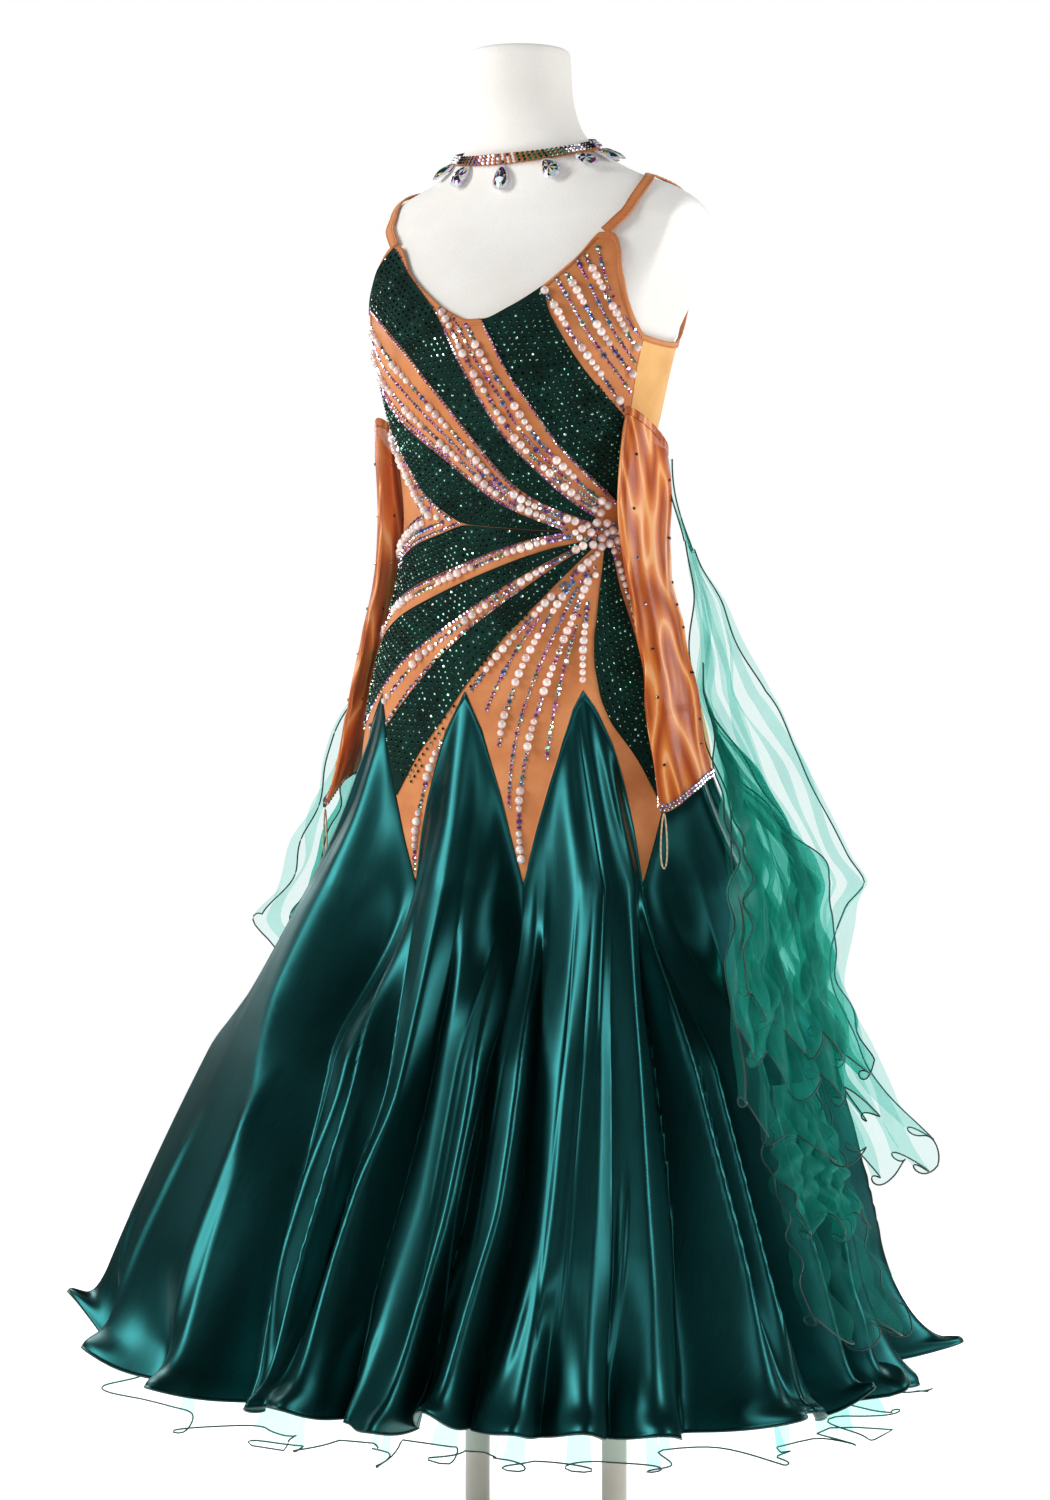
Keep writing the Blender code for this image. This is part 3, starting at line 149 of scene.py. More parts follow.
# Velvet bands that fan out from the wearer's left waist: (turn, height) along the upper and the lower edge of each,
# from its far end to the waist.
Band = namedtuple("Band", "name upper lower")
BANDS = [
    Band("applique_bust_left",
         [(24.2, 1.261), (30.4, 1.2345), (37.7, 1.214), (44.0, 1.1955), (49.9, 1.179), (55.4, 1.1655), (62.7, 1.151),
          (71.5, 1.137), (76.0, 1.13)],
         [(6.5, 1.231), (10.5, 1.218), (14.1, 1.205), (19.1, 1.182), (24.2, 1.1596), (32.4, 1.1322), (40.8, 1.1076),
          (50.4, 1.0887), (58.9, 1.0747), (72.0, 1.056)]),
    Band("applique_bust_right",
         [(-36.6, 1.315), (-25.9, 1.2803), (-17.6, 1.2558), (-8.9, 1.2277), (-2.4, 1.2014), (2.3, 1.1772),
          (6.9, 1.1514), (13.8, 1.1226), (21.1, 1.1021), (32.1, 1.0789), (42.2, 1.0596), (53.6, 1.0444),
          (62.0, 1.036)],
         [(-57.0, 1.26), (-46.0, 1.242), (-35.1, 1.222), (-22.4, 1.1968), (-13.8, 1.1693), (-6.8, 1.1473),
          (1.6, 1.1189), (9.9, 1.0941), (19.5, 1.0705), (32.1, 1.0528), (46.1, 1.0412), (60.5, 1.033)]),
    Band("applique_waist_upper",
         [(-76.9, 1.198), (-53.1, 1.1597), (-39.8, 1.1374), (-26.5, 1.1176), (-12.6, 1.0962), (-2.1, 1.0777),
          (9.2, 1.0575), (19.4, 1.0453), (32.0, 1.0343), (42.0, 1.0262)],
         [(-76.9, 1.16), (-58.0, 1.133), (-43.8, 1.1046), (-34.1, 1.0795), (-24.1, 1.0595), (-13.9, 1.0446),
          (-4.6, 1.0341), (12.0, 1.03), (28.0, 1.027), (42.0, 1.0255)]),
    Band("applique_waist_lower",
         [(-76.9, 0.985), (-51.8, 1.0051), (-35.0, 1.017), (-17.3, 1.0254), (-4.6, 1.0335), (12.0, 1.0294),
          (28.0, 1.0264), (42.0, 1.025)],
         [(-76.9, 0.941), (-56.0, 0.959), (-35.9, 0.974), (-15.9, 0.9872), (-0.3, 0.9987), (13.7, 1.0096),
          (27.3, 1.0179), (42.0, 1.024)]),
    Band("applique_hip",
         [(-76.9, 0.906), (-63.0, 0.92), (-51.5, 0.935), (-38.2, 0.9485), (-20.2, 0.9629), (-4.8, 0.9766),
          (9.1, 0.9885), (22.5, 0.9996), (36.9, 1.0091), (55.4, 1.0171)],
         [(-66.0, 0.835), (-57.0, 0.85), (-48.8, 0.866), (-40.8, 0.8837), (-32.1, 0.902), (-19.4, 0.9219),
          (-8.0, 0.9388), (1.4, 0.9539), (13.4, 0.9708), (26.5, 0.987), (35.6, 0.9975), (46.6, 1.0091),
          (56.0, 1.016)]),
    Band("applique_thigh",
         [(-35.0, 0.838), (-28.3, 0.8568), (-21.0, 0.8771), (-11.0, 0.9059), (1.0, 0.9326), (13.2, 0.954),
          (26.1, 0.9745), (39.9, 0.9946), (52.4, 1.01), (60.0, 1.018)],
         [(-28.0, 0.768), (-22.2, 0.7896), (-16.9, 0.812), (-11.1, 0.8322), (-3.3, 0.8631), (3.7, 0.8908),
          (12.9, 0.9195), (24.2, 0.9472), (35.2, 0.9703), (47.7, 0.9946), (60.5, 1.0165)]),
    Band("applique_side",
         [(66.5, 0.77), (60.0, 0.7987), (55.4, 0.8176), (49.9, 0.8386), (46.8, 0.8644), (46.5, 0.8969),
          (48.8, 0.9248), (53.7, 0.9537), (59.2, 0.9832), (62.9, 1.01)],
         [(74.0, 0.78), (73.2, 0.791), (70.8, 0.8243), (68.8, 0.8578), (67.8, 0.8894), (67.3, 0.9202), (67.5, 0.954),
          (67.8, 0.9836), (66.6, 1.01)]),
]


# Straps: narrow bands from the front corners over the shoulders to where the armholes meet the low back.
STRAP_WIDTH = 0.010
STRAP_OVER = [(42.0, 1.335), (52.0, 1.356), (68.0, 1.371), (90.0, 1.3785), (110.0, 1.374), (128.0, 1.352),
              (139.0, 1.318), (138.0, 1.280), (131.0, 1.250)]
STRAP_LEFT = [(36.8, 1.3142), *STRAP_OVER, (120.0, 1.2232)]
STRAP_RIGHT = [(-turn, height) for turn, height in [(36.9, 1.3160), *STRAP_OVER, (122.5, 1.2232)]]
# Choker round the base of the neck, with pear drops along its front and sides.
CHOKER_HEIGHT, CHOKER_TILT, CHOKER_WIDTH = 1.4085, 0.0125, 0.011
DROP_TURNS = [-128 + 25.6 * k for k in range(11)]
DROP_LONG, DROP_WIDE = 0.023, 0.0145
# Armlets: flattened tubes that hang at the sides from their elastic tops.
Cuff = namedtuple("Cuff", "height turn half_breadth half_depth")
ARMLET_LEFT = [Cuff(*row) for row in [
    (1.118, 81.0, 0.03, 0.0115), (1.095, 82.5, 0.036, 0.0125), (1.056, 84.0, 0.041, 0.0125),
    (1.01, 83.0, 0.036, 0.012), (0.96, 80.0, 0.032, 0.0115), (0.91, 76.0, 0.032, 0.011), (0.863, 73.0, 0.034, 0.0105),
    (0.825, 71.0, 0.033, 0.0105), (0.79, 69.0, 0.031, 0.0105),
]]
ARMLET_RIGHT = [Cuff(*row) for row in [
    (1.12, -84.0, 0.03, 0.0115), (1.095, -82.0, 0.035, 0.0125), (1.056, -80.0, 0.038, 0.0125),
    (1.01, -79.0, 0.036, 0.012), (0.96, -80.0, 0.034, 0.0115), (0.91, -81.0, 0.033, 0.011),
    (0.863, -82.0, 0.033, 0.0105), (0.825, -83.5, 0.032, 0.0105), (0.79, -85.0, 0.031, 0.0105),
]]
ARMLET_CLEAR = {"left": 0.0050, "right": 0.0044}      # off the form: over the bodice and its applique
TOP_TILT = 0.019             # the top's front stands this much above its middle
ARMLET_ROWS, ARMLET_COLUMNS = 90, 96
POINT_DROP = 0.034           # the wrist's point hangs this much below its edge
BAND_TALL = 0.009
LOOP_LONG, LOOP_WIDE, LOOP_CORD = 0.052, 0.0095, 0.0011
# Organza floats: each row runs from its near edge, close on the skirt's folds, to its free edge. The places are
# fold phases of the skirt; the rises say how far the cloth stands off the folds.
Row = namedtuple("Row", "height near free near_rise free_rise wave")
FLOAT_LEFT = [Row(*row) for row in [
    (1.094, 24.28, 24.4, -0.018, -0.018, 0.0), (1.0, 24.15, 25.0, 0.0, 0.003, 0.0),
    (0.955, 24.05, 25.2, 0.008, 0.03, 0.002), (0.896, 23.9, 25.2, 0.01, 0.055, 0.005),
    (0.85, 23.65, 25.2, 0.01, 0.07, 0.008), (0.8, 23.3, 25.25, 0.01, 0.082, 0.01),
    (0.76, 22.95, 25.3, 0.009, 0.08, 0.011), (0.713, 22.6, 25.4, 0.008, 0.078, 0.012),
    (0.69, 22.3, 25.4, 0.008, 0.082, 0.013), (0.661, 22.0, 25.4, 0.008, 0.054, 0.013),
    (0.616, 21.6, 25.4, 0.008, 0.032, 0.012), (0.56, 21.3, 25.4, 0.008, 0.022, 0.012),
    (0.516, 21.15, 25.4, 0.008, 0.026, 0.013), (0.477, 20.95, 25.4, 0.008, 0.042, 0.014),
    (0.41, 20.9, 25.4, 0.008, 0.08, 0.014),
]]
FLOAT_RIGHT = [Row(*row) for row in [
    (1.094, 7.1, 7.0, -0.018, -0.018, 0.0), (1.0, 6.6, 7.05, 0.0, 0.003, 0.0), (0.955, 6.2, 7.0, 0.006, 0.014, 0.002),
    (0.895, 5.8, 6.95, 0.008, 0.036, 0.004), (0.827, 5.4, 6.95, 0.008, 0.058, 0.007),
    (0.785, 5.2, 7.0, 0.008, 0.054, 0.009), (0.732, 5.0, 7.0, 0.008, 0.057, 0.01),
    (0.69, 4.8, 7.0, 0.008, 0.052, 0.011), (0.64, 4.6, 7.05, 0.008, 0.07, 0.011),
    (0.6, 4.5, 7.05, 0.008, 0.024, 0.012), (0.5, 4.3, 7.0, 0.008, 0.016, 0.012),
    (0.43, 4.2, 6.9, 0.008, 0.016, 0.012),
]]
FLOAT_TAIL = [Row(*row) for row in [
    (0.5, 21.9, 23.55, 0.0035, 0.0035, 0.0), (0.42, 21.6, 23.55, 0.0035, 0.0035, 0.001),
    (0.34, 21.6, 23.65, 0.0035, 0.0035, 0.003), (0.255, 21.6, 24.1, 0.0035, 0.0035, 0.005),
]]
# Lower edges of the floats: height by share of the way from the near edge to the free edge.
Low = namedtuple("Low", "share height")
FLOAT_LEFT_LOW = [Low(*row) for row in [
    (0.0, 0.485), (0.12, 0.47), (0.28, 0.44), (0.42, 0.438), (0.6, 0.414), (0.78, 0.412), (1.0, 0.436),
]]
FLOAT_RIGHT_LOW = [Low(*row) for row in [
    (0.0, 0.455), (0.25, 0.435), (0.5, 0.45), (0.7, 0.5), (0.86, 0.57), (1.0, 0.636),
]]
FLOAT_TAIL_LOW = [Low(*row) for row in [
    (0.0, 0.279), (0.35, 0.268), (0.7, 0.262), (1.0, 0.272),
]]
FLOAT_WAVES = 2.5            # soft waves across a float
EDGE_CORD = 0.0008           # radius of the cord rolled into an edge of organza
# Underskirt: an organza flounce inside the godets, from one share of the way down and over another, longer than
# they are by a finger's width, and this far inside them at its free edge.
UNDER_TOP, UNDER_LONG, UNDER_LONGER, UNDER_AWAY = 0.72, 0.28, 0.014, 0.014


# ---------------------------------------------------------------- curves and grids
def smooth(xs, ys, at):
    """Monotone cubic curve through (xs, ys), read at `at`; xs rise."""
    xs, ys, at = np.asarray(xs, float), np.asarray(ys, float), np.asarray(at, float)
    step = np.diff(xs)
    slope = np.diff(ys) / step
    tangent = np.empty_like(ys)
    tangent[0], tangent[-1] = slope[0], slope[-1]
    same = slope[1:] * slope[:-1] > 0
    weight_a, weight_b = 2 * step[1:] + step[:-1], step[1:] + 2 * step[:-1]
    with np.errstate(divide="ignore", invalid="ignore"):
        mean = (weight_a + weight_b) / (weight_a / slope[:-1] + weight_b / slope[1:])
    tangent[1:-1] = np.where(same, mean, 0.0)
    at = np.clip(at, xs[0], xs[-1])
    k = np.clip(np.searchsorted(xs, at, side="right") - 1, 0, len(xs) - 2)
    f = (at - xs[k]) / step[k]
    return ((1 + 2 * f) * (1 - f) ** 2 * ys[k] + f * (1 - f) ** 2 * step[k] * tangent[k]
            + f * f * (3 - 2 * f) * ys[k + 1] + f * f * (f - 1) * step[k] * tangent[k + 1])


def column(table, name, height):
    rows = sorted(table, key=lambda row: row.height)
    return smooth([row.height for row in rows], [getattr(row, name) for row in rows], height)


def columns(table, names, height):
    return [column(table, name, height) for name in names]


def ease(f):
    f = np.clip(f, 0.0, 1.0)
    return f * f * (3 - 2 * f)


def unit(vectors):
    return vectors / np.maximum(np.linalg.norm(vectors, axis=-1, keepdims=True), 1e-12)


def ellipse(turn, half_width, front, back, centre_x, centre_y, height):
    angle = np.radians(turn)
    depth = np.where(np.cos(angle) > 0, front, back)
    return np.stack(np.broadcast_arrays(centre_x + half_width * np.sin(angle),
                                        centre_y - depth * np.cos(angle), height), axis=-1)


def body(turn, height):
    """The outside of the dress form's own shape, which the bodice follows."""
    turn, height = np.broadcast_arrays(np.asarray(turn, float), np.asarray(height, float))
    point = ellipse(turn, *columns(BODY, Section._fields[1:4], height), 0.0, column(BODY, "centre_y", height), height)
    plate = column(ARM_PLATES, "half_width", height)
    wide = np.abs(point[..., 0])
    cut = 0.5 * (wide + plate - np.sqrt((wide - plate) ** 2 + 0.005 ** 2))
    point[..., 0] = np.sign(point[..., 0]) * np.where(height > 1.20, cut, wide)
    return point


def outward(turn, height):
    """Outward unit normals of the body."""
    along = body(turn + TURN_STEP, height) - body(turn - TURN_STEP, height)
    up = body(turn, height + HEIGHT_STEP) - body(turn, height - HEIGHT_STEP)
    return unit(np.cross(along, up))


def body_out(turn, height, rise):
    """A point on the body, moved out by `rise`."""
    turn, height = np.broadcast_arrays(np.asarray(turn, float), np.asarray(height, float))
    return body(turn, height) + outward(turn, height) * np.asarray(rise)[..., None]


# ---------------------------------------------------------------- the skirt's surface
FIRST_FOLD = np.cumsum([0] + [len(g.crests_hem) for g in GODETS])
FOLDS = int(FIRST_FOLD[-1])
SEAMS_YOKE = [g.seam_yoke for g in GODETS] + [GODETS[0].seam_yoke + 360.0]
PHASE_MARKS = np.sort(np.concatenate([FIRST_FOLD - 0.5, np.arange(FOLDS)]))
TURN_MARKS = np.sort(np.concatenate([[g.seam_hem for g in GODETS], [GODETS[0].seam_hem + 360.0],
                                     np.concatenate([g.crests_hem for g in GODETS])]))


def yoke_turn(phase):
    return np.interp(phase, FIRST_FOLD - 0.5, SEAMS_YOKE)


def across(phase):
    """Place across a godet: -1 at its first seam, 0 under its tip, 1 at its last seam."""
    k = np.clip(np.searchsorted(FIRST_FOLD - 0.5, phase, side="right") - 1, 0, len(GODETS) - 1)
    first, last = FIRST_FOLD[k] - 0.5, FIRST_FOLD[k + 1] - 0.5
    return np.clip(2 * (phase - first) / (last - first) - 1, -1, 1)


def yoke_edge(phase):
    """Height of the seam between bodice and godet, straight between the yoke's corners."""
    nodes = np.arange(FOLDS * YOKE_NODES_PER_FOLD + 1) / YOKE_NODES_PER_FOLD - 0.5
    place = np.abs(across(nodes))
    place[np.isclose((nodes + 0.5) % 1, 0) & np.isin(np.round(nodes + 0.5), FIRST_FOLD)] = 1.0
    return np.interp(phase, nodes, TIP_HEIGHT - (TIP_HEIGHT - YOKE_LOW) * place ** LANCET)


def fold_value(phase, name):
    marks = np.arange(-1, FOLDS + 1)
    values = [getattr(LIPS[i % FOLDS], name) for i in marks]
    return np.interp(phase, marks, values)


def hem_turn(phase):
    return smooth(PHASE_MARKS, TURN_MARKS, phase)


def crest_share(phase):
    """1 on the crest of a fold, 0 in the valley beside it."""
    return 0.5 + 0.5 * np.cos(2 * math.pi * phase)


def hem_line(phase):
    """Height of the hem's edge."""
    return (HEM_HEIGHT + HEM_TILT * np.cos(np.radians(hem_turn(phase) - SWING_TURN))
            + fold_value(phase, "lift") * crest_share(phase))


def skirt(phase, height, hull=False):
    """The skirt's inner face at a fold phase (whole numbers are crests, seams lie halfway) and a height.

    With `hull` every phase is a crest, which gives the smooth surface that the folds touch from inside.
    """
    phase, height = np.broadcast_arrays(np.asarray(phase, float), np.asarray(height, float))
    wrapped = (phase + 0.5) % FOLDS - 0.5
    lap = (phase - wrapped) / FOLDS * 360.0
    turn_above, turn_below = lap + yoke_turn(wrapped), lap + hem_turn(wrapped)
    level = np.maximum(height, YOKE_LOW)
    above = ellipse(turn_above, *columns(SKIRT, Flare._fields[1:], level), 0.0, SKIRT_CENTRE, height)
    swing = math.radians(SWING_TURN)
    below = ellipse(turn_below, *HEM_SECTION[1:], HEM_SWING * math.sin(swing),
                    SKIRT_CENTRE - HEM_SWING * math.cos(swing), height)
    drop = np.maximum(YOKE_LOW - height, 0.0) / (YOKE_LOW - HEM_SECTION.height)
    cone = above + (below - above) * drop[..., None]
    on_body = body(turn_above, level)
    on_body[..., 2] = height
    half = np.clip((TIP_HEIGHT - height) / (TIP_HEIGHT - YOKE_LOW), 1e-6, 1.0) ** (1 / LANCET)
    to_seam = (0.5 - 0.5 * np.cos(math.pi * np.clip(np.abs(across(wrapped)) / half, 0, 1))) ** 1.5
    free = np.maximum(1 - to_seam * (1 - ease((YOKE_LOW - height) / VALLEY_DROP)), 1.0 if hull else 0.0)
    point = on_body + (cone - on_body) * free[..., None]
    near_hem = np.clip((hem_line(wrapped) + LIP_START - height) / LIP_START, 0, 1) ** 2
    crest = np.maximum(crest_share(wrapped), 1.0 if hull else 0.0)
    radial = (-2 * column(FOLD_DEPTHS, "fold_depth", height) * fold_value(wrapped, "depth_share") * (1 - crest) * free
              + BULGE * np.sin(math.pi * np.clip(drop, 0, 1)) + near_hem * fold_value(wrapped, "lip") * crest)
    turn = turn_above + (turn_below - turn_above) * np.clip(drop, 0, 1) ** 0.5
    out = np.stack([np.sin(np.radians(turn)), -np.cos(np.radians(turn)), np.zeros_like(turn)], axis=-1)
    return point + out * radial[..., None]


def smooth_path(steps, values, at, passes=6):
    """A soft curve through values that may rise and fall."""
    values = np.interp(at, steps, values)
    for _ in range(passes):
        values[1:-1] = (values[:-2] + 2 * values[1:-1] + values[2:]) / 4
    return values


def edge_points(edge, count):
    """(turns, heights) at even steps along an edge given by its points."""
    edge = np.array(edge)
    far = np.concatenate([[0], np.cumsum(np.hypot(np.diff(edge[:, 0]) * UNROLL, np.diff(edge[:, 1])))])
    at = np.linspace(0, far[-1], count)
    return np.stack([smooth_path(far, edge[:, c], at, count // 12) for c in (0, 1)])


def frame_at(turn, height):
    """Outward, downhill and sideways unit vectors of the body's surface."""
    turn, height = np.broadcast_arrays(np.asarray(turn, float), np.asarray(height, float))
    out = outward(turn, height)
    down = unit(body(turn, height - HEIGHT_STEP) - body(turn, height + HEIGHT_STEP))
    return out, down, unit(np.cross(out, down))


def choker_height(turn):
    return CHOKER_HEIGHT - CHOKER_TILT * np.cos(np.radians(turn))


def armlet_rows(side, cuffs, count):
    """Evenly spaced rows of an armlet: centres, outward and front-to-back vectors, half breadths and depths."""
    heights = np.linspace(cuffs[0].height, cuffs[-1].height, count)
    turns, breadths, depths = columns(cuffs, Cuff._fields[1:], heights)
    level = np.maximum(heights, YOKE_LOW)
    crest = ellipse(turns, *columns(SKIRT, Flare._fields[1:], level), 0.0, SKIRT_CENTRE, heights)
    base = np.where((heights < 0.860)[:, None], crest, body(turns, heights))
    out = outward(turns, heights)
    out[:, 2] = 0
    out = unit(out)
    clear = ARMLET_CLEAR[side] + 0.003 * ease((0.90 - heights) / 0.08)
    centres = base + out * (clear + depths)[:, None]
    front = unit(np.cross(out, [0, 0, 1.0]))
    front *= -np.sign(front[:, 1:2])
    return centres, out, front, breadths, depths


def outward_from_axis(points):
    away = points.copy()
    away[..., 2] = 0
    return unit(away)


def float_surface(rows, share, height):
    """A point of a float: `share` runs from 0 at its near edge to 1 at its free edge."""
    share, height = np.broadcast_arrays(np.asarray(share, float), np.asarray(height, float))
    at = {name: column(rows, name, height) for name in Row._fields}
    phase = at["near"] + (at["free"] - at["near"]) * share
    curl = 0.5 - 0.5 * np.cos(2 * math.pi * FLOAT_WAVES * share + 5.0 * (1.1 - height))
    rise = at["near_rise"] + (at["free_rise"] - at["near_rise"]) * share ** 2 + at["wave"] * curl
    base = skirt(phase, height, hull=True)
    return base + outward_from_axis(base) * rise[..., None]


# ---------------------------------------------------------------- camera and light
def make_camera():
    data = bpy.data.cameras.new("camera")
    data.lens, data.sensor_width, data.shift_x = 86.4, 36.0, -0.01
    camera = bpy.data.objects.new("camera", data)
    camera.location = (1.8, -3.118, 0.815)
    camera.rotation_euler = (math.radians(90), 0, math.radians(30))
    bpy.context.scene.collection.objects.link(camera)
    bpy.context.scene.camera = camera


# Softboxes: the turn they stand at round the dress, their height, distance, width, height of the cloth, and power.
Softbox = namedtuple("Softbox", "name turn height away wide tall watts")
SOFTBOXES = [Softbox(*row) for row in [
    ("softbox_left", -42.0, 2.1, 2.7, 0.9, 1.6, 58.0), ("softbox_right", 104.0, 1.5, 2.5, 0.7, 1.6, 34.0),
    ("softbox_front", 26.0, 1.25, 3.0, 0.9, 0.6, 8.0), ("softbox_left_back", -112.0, 2.0, 2.6, 0.8, 1.4, 20.0),
    ("softbox_back", 170.0, 1.8, 2.8, 0.9, 1.4, 14.0),
]]

ROOM_LIGHT = (1.0, 0.32, 0.015)        # of the white room: as seen, as it fills, and as it mirrors
AIM_HEIGHT = 0.85                      # the softboxes point at this height of the dress's axis


def make_light():
    for box in SOFTBOXES:
        data = bpy.data.lights.new(box.name, "AREA")
        data.shape, data.size, data.size_y, data.energy = "RECTANGLE", box.wide, box.tall, box.watts
        lamp = bpy.data.objects.new(box.name, data)
        turn = math.radians(box.turn)
        lamp.location = (box.away * math.sin(turn), -box.away * math.cos(turn), box.height)
        tip = math.atan2(box.height - AIM_HEIGHT, box.away)
        lamp.rotation_euler = (math.radians(90) - tip, 0, turn)
        bpy.context.scene.collection.objects.link(lamp)
    world = bpy.data.worlds.new("studio")
    bpy.context.scene.world = world
    world.use_nodes = True
    tree = world.node_tree
    tree.nodes.clear()
    path = add(tree, "ShaderNodeLightPath")
    seen, fill, sheen = (
        add(tree, "ShaderNodeBackground", {"Color": (1.0, 1.0, 1.0, 1.0), "Strength": strength}).outputs[0]
        for strength in ROOM_LIGHT)
    soft = add(tree, "ShaderNodeMixShader", {0: path.outputs["Is Glossy Ray"], 1: fill, 2: sheen}).outputs[0]
    both = add(tree, "ShaderNodeMixShader", {0: path.outputs["Is Camera Ray"], 1: soft, 2: seen}).outputs[0]
    add(tree, "ShaderNodeOutputWorld", {"Surface": both})
    bpy.context.scene.view_settings.view_transform = "Standard"


# ---------------------------------------------------------------- materials
def colour(code):
    """Linear RGBA of an sRGB hex colour; a colour that is linear already stays as it is."""
    if not isinstance(code, str):
        return code
    parts = [int(code[k:k + 2], 16) / 255 for k in (1, 3, 5)]
    return (*[p / 12.92 if p <= 0.04045 else ((p + 0.055) / 1.055) ** 2.4 for p in parts], 1.0)


def add(tree, kind, inputs=None, **settings):
    """A node with its settings; each input is given a value, or another node's output to link from."""
    node = tree.nodes.new(kind)
    for name, value in settings.items():
        setattr(node, name, value)
    for key, value in (inputs or {}).items():
        if isinstance(value, bpy.types.NodeSocket):
            tree.links.new(value, node.inputs[key])
        else:
            node.inputs[key].default_value = value
    return node


def ramp(tree, fac, stops):
    """The colour of a ramp through (place, sRGB code) stops."""
    node = add(tree, "ShaderNodeValToRGB", {"Fac": fac})
    ends = node.color_ramp.elements
    ends[0].position, ends[1].position = stops[0][0], stops[-1][0]
    ends[0].color, ends[1].color = colour(stops[0][1]), colour(stops[-1][1])
    for place, code in stops[1:-1]:
        ends.new(place).color = colour(code)
    return node.outputs[0]


def noise(tree, where, scale, detail):
    """Soft cloudy noise, from 0 to 1."""
    return add(tree, "ShaderNodeTexNoise", {"Vector": where, "Scale": scale, "Detail": detail}).outputs["Fac"]


def stretched(tree, along, scale_x, scale_y):
    """The cloth's own lengths, scaled differently across it and down it."""
    return add(tree, "ShaderNodeMapping", {"Vector": along, "Scale": (scale_x, scale_y, 1.0)}).outputs[0]


def relief(tree, height, strength, depth, **more):
    """Normals of a fine relief, `depth` metres deep."""
    return add(tree, "ShaderNodeBump", {"Strength": strength, "Distance": depth, "Height": height, **more}).outputs[0]


def blank(name, settings):
    """A new material with these settings on its surface shader: (material, node tree, cloth lengths, object place)."""
    made = bpy.data.materials.new(name)
    made.use_nodes = True
    tree = made.node_tree
    for key, value in settings.items():
        tree.nodes["Principled BSDF"].inputs[key].default_value = colour(value)
    made.diffuse_color = colour(settings["Base Color"])
    place = add(tree, "ShaderNodeTexCoord")
    return made, tree, place.outputs["UV"], place.outputs["Object"]


def wire(made, links):
    """Links outputs to the surface shader's inputs and gives the material back."""
    for key, value in links.items():
        made.node_tree.links.new(value, made.node_tree.nodes["Principled BSDF"].inputs[key])
    return made


def polyester_satin_woven():
    """Heavy satin, warp-faced: long floats of bright thread give broad streaked highlights on near-black folds."""
    made, tree, along, where = blank("polyester_satin_woven", {
        "Base Color": "#1F5A5B", "Metallic": 0.95, "Roughness": 0.38, "Anisotropic": 0.35,
        "Specular IOR Level": 0.5, "Sheen Weight": 0.02, "Sheen Roughness": 0.4, "Sheen Tint": "#2FA79A"})
    streak = noise(tree, stretched(tree, along, 900.0, 30.0), 1.0, 3.0)
    both = add(tree, "ShaderNodeMix", {"Factor": 0.35, 2: streak, 3: noise(tree, where, 14.0, 2.0)}).outputs[0]
    rough = add(tree, "ShaderNodeMapRange", {"Value": both, "To Min": 0.34, "To Max": 0.43})
    dent = relief(tree, noise(tree, where, 38.0, 1.0), 0.06, 0.004)
    grain = add(tree, "ShaderNodeTangent", direction_type="UV_MAP", uv_map="cloth")
    return wire(made, {"Base Color": ramp(tree, both, [(0.30, "#1B4F50"), (0.55, "#1F5A5B"), (0.75, "#226263")]),
                       "Roughness": rough.outputs[0], "Tangent": grain.outputs[0],
                       "Normal": relief(tree, streak, 0.015, 0.0004, Normal=dent)})


def stretch_cloth_knitted(name="polyamide_stretch_knitted", base="#CC7E48", dark="#BC6C38", light="#D68C56"):
    """Matt power-stretch knit: fine ribs of loops, drawn coarse enough to show, and a soft bloom."""
    made, tree, along, where = blank(name, {
        "Base Color": base, "Roughness": 0.62, "Sheen Weight": 0.25, "Sheen Roughness": 0.5,
        "Sheen Tint": "#FFD9B0", "Specular IOR Level": 0.35})
    ribs, rows = (add(tree, "ShaderNodeTexWave", {"Vector": along, "Scale": scale, "Distortion": 0.6, "Detail": 1.0},
                      wave_type="BANDS", bands_direction=way).outputs["Fac"]
                  for scale, way in ((130.0, "X"), (160.0, "Y")))
    loops = add(tree, "ShaderNodeMath", {0: ribs, 1: rows}, operation="MULTIPLY")
    shade = ramp(tree, noise(tree, where, 22.0, 3.0), [(0.3, dark), (0.5, base), (0.72, light)])
    return wire(made, {"Base Color": shade, "Normal": relief(tree, loops.outputs[0], 0.25, 0.0006)})


def velvet_stretch_knitted():
    """Short-pile stretch velvet: the pile swallows light face on and blooms green where it turns away."""
    made, tree, _, where = blank("stretch_velvet_knitted", {
        "Base Color": "#051F18", "Roughness": 0.85, "Sheen Weight": 0.14, "Sheen Roughness": 0.35,
        "Sheen Tint": "#1F6B50", "Specular IOR Level": 0.15})
    nap = ramp(tree, noise(tree, where, 30.0, 3.0), [(0.3, "#041A14"), (0.5, "#062620"), (0.75, "#09332A")])
    return wire(made, {"Base Color": nap, "Normal": relief(tree, noise(tree, where, 900.0, 2.0), 0.5, 0.0008)})


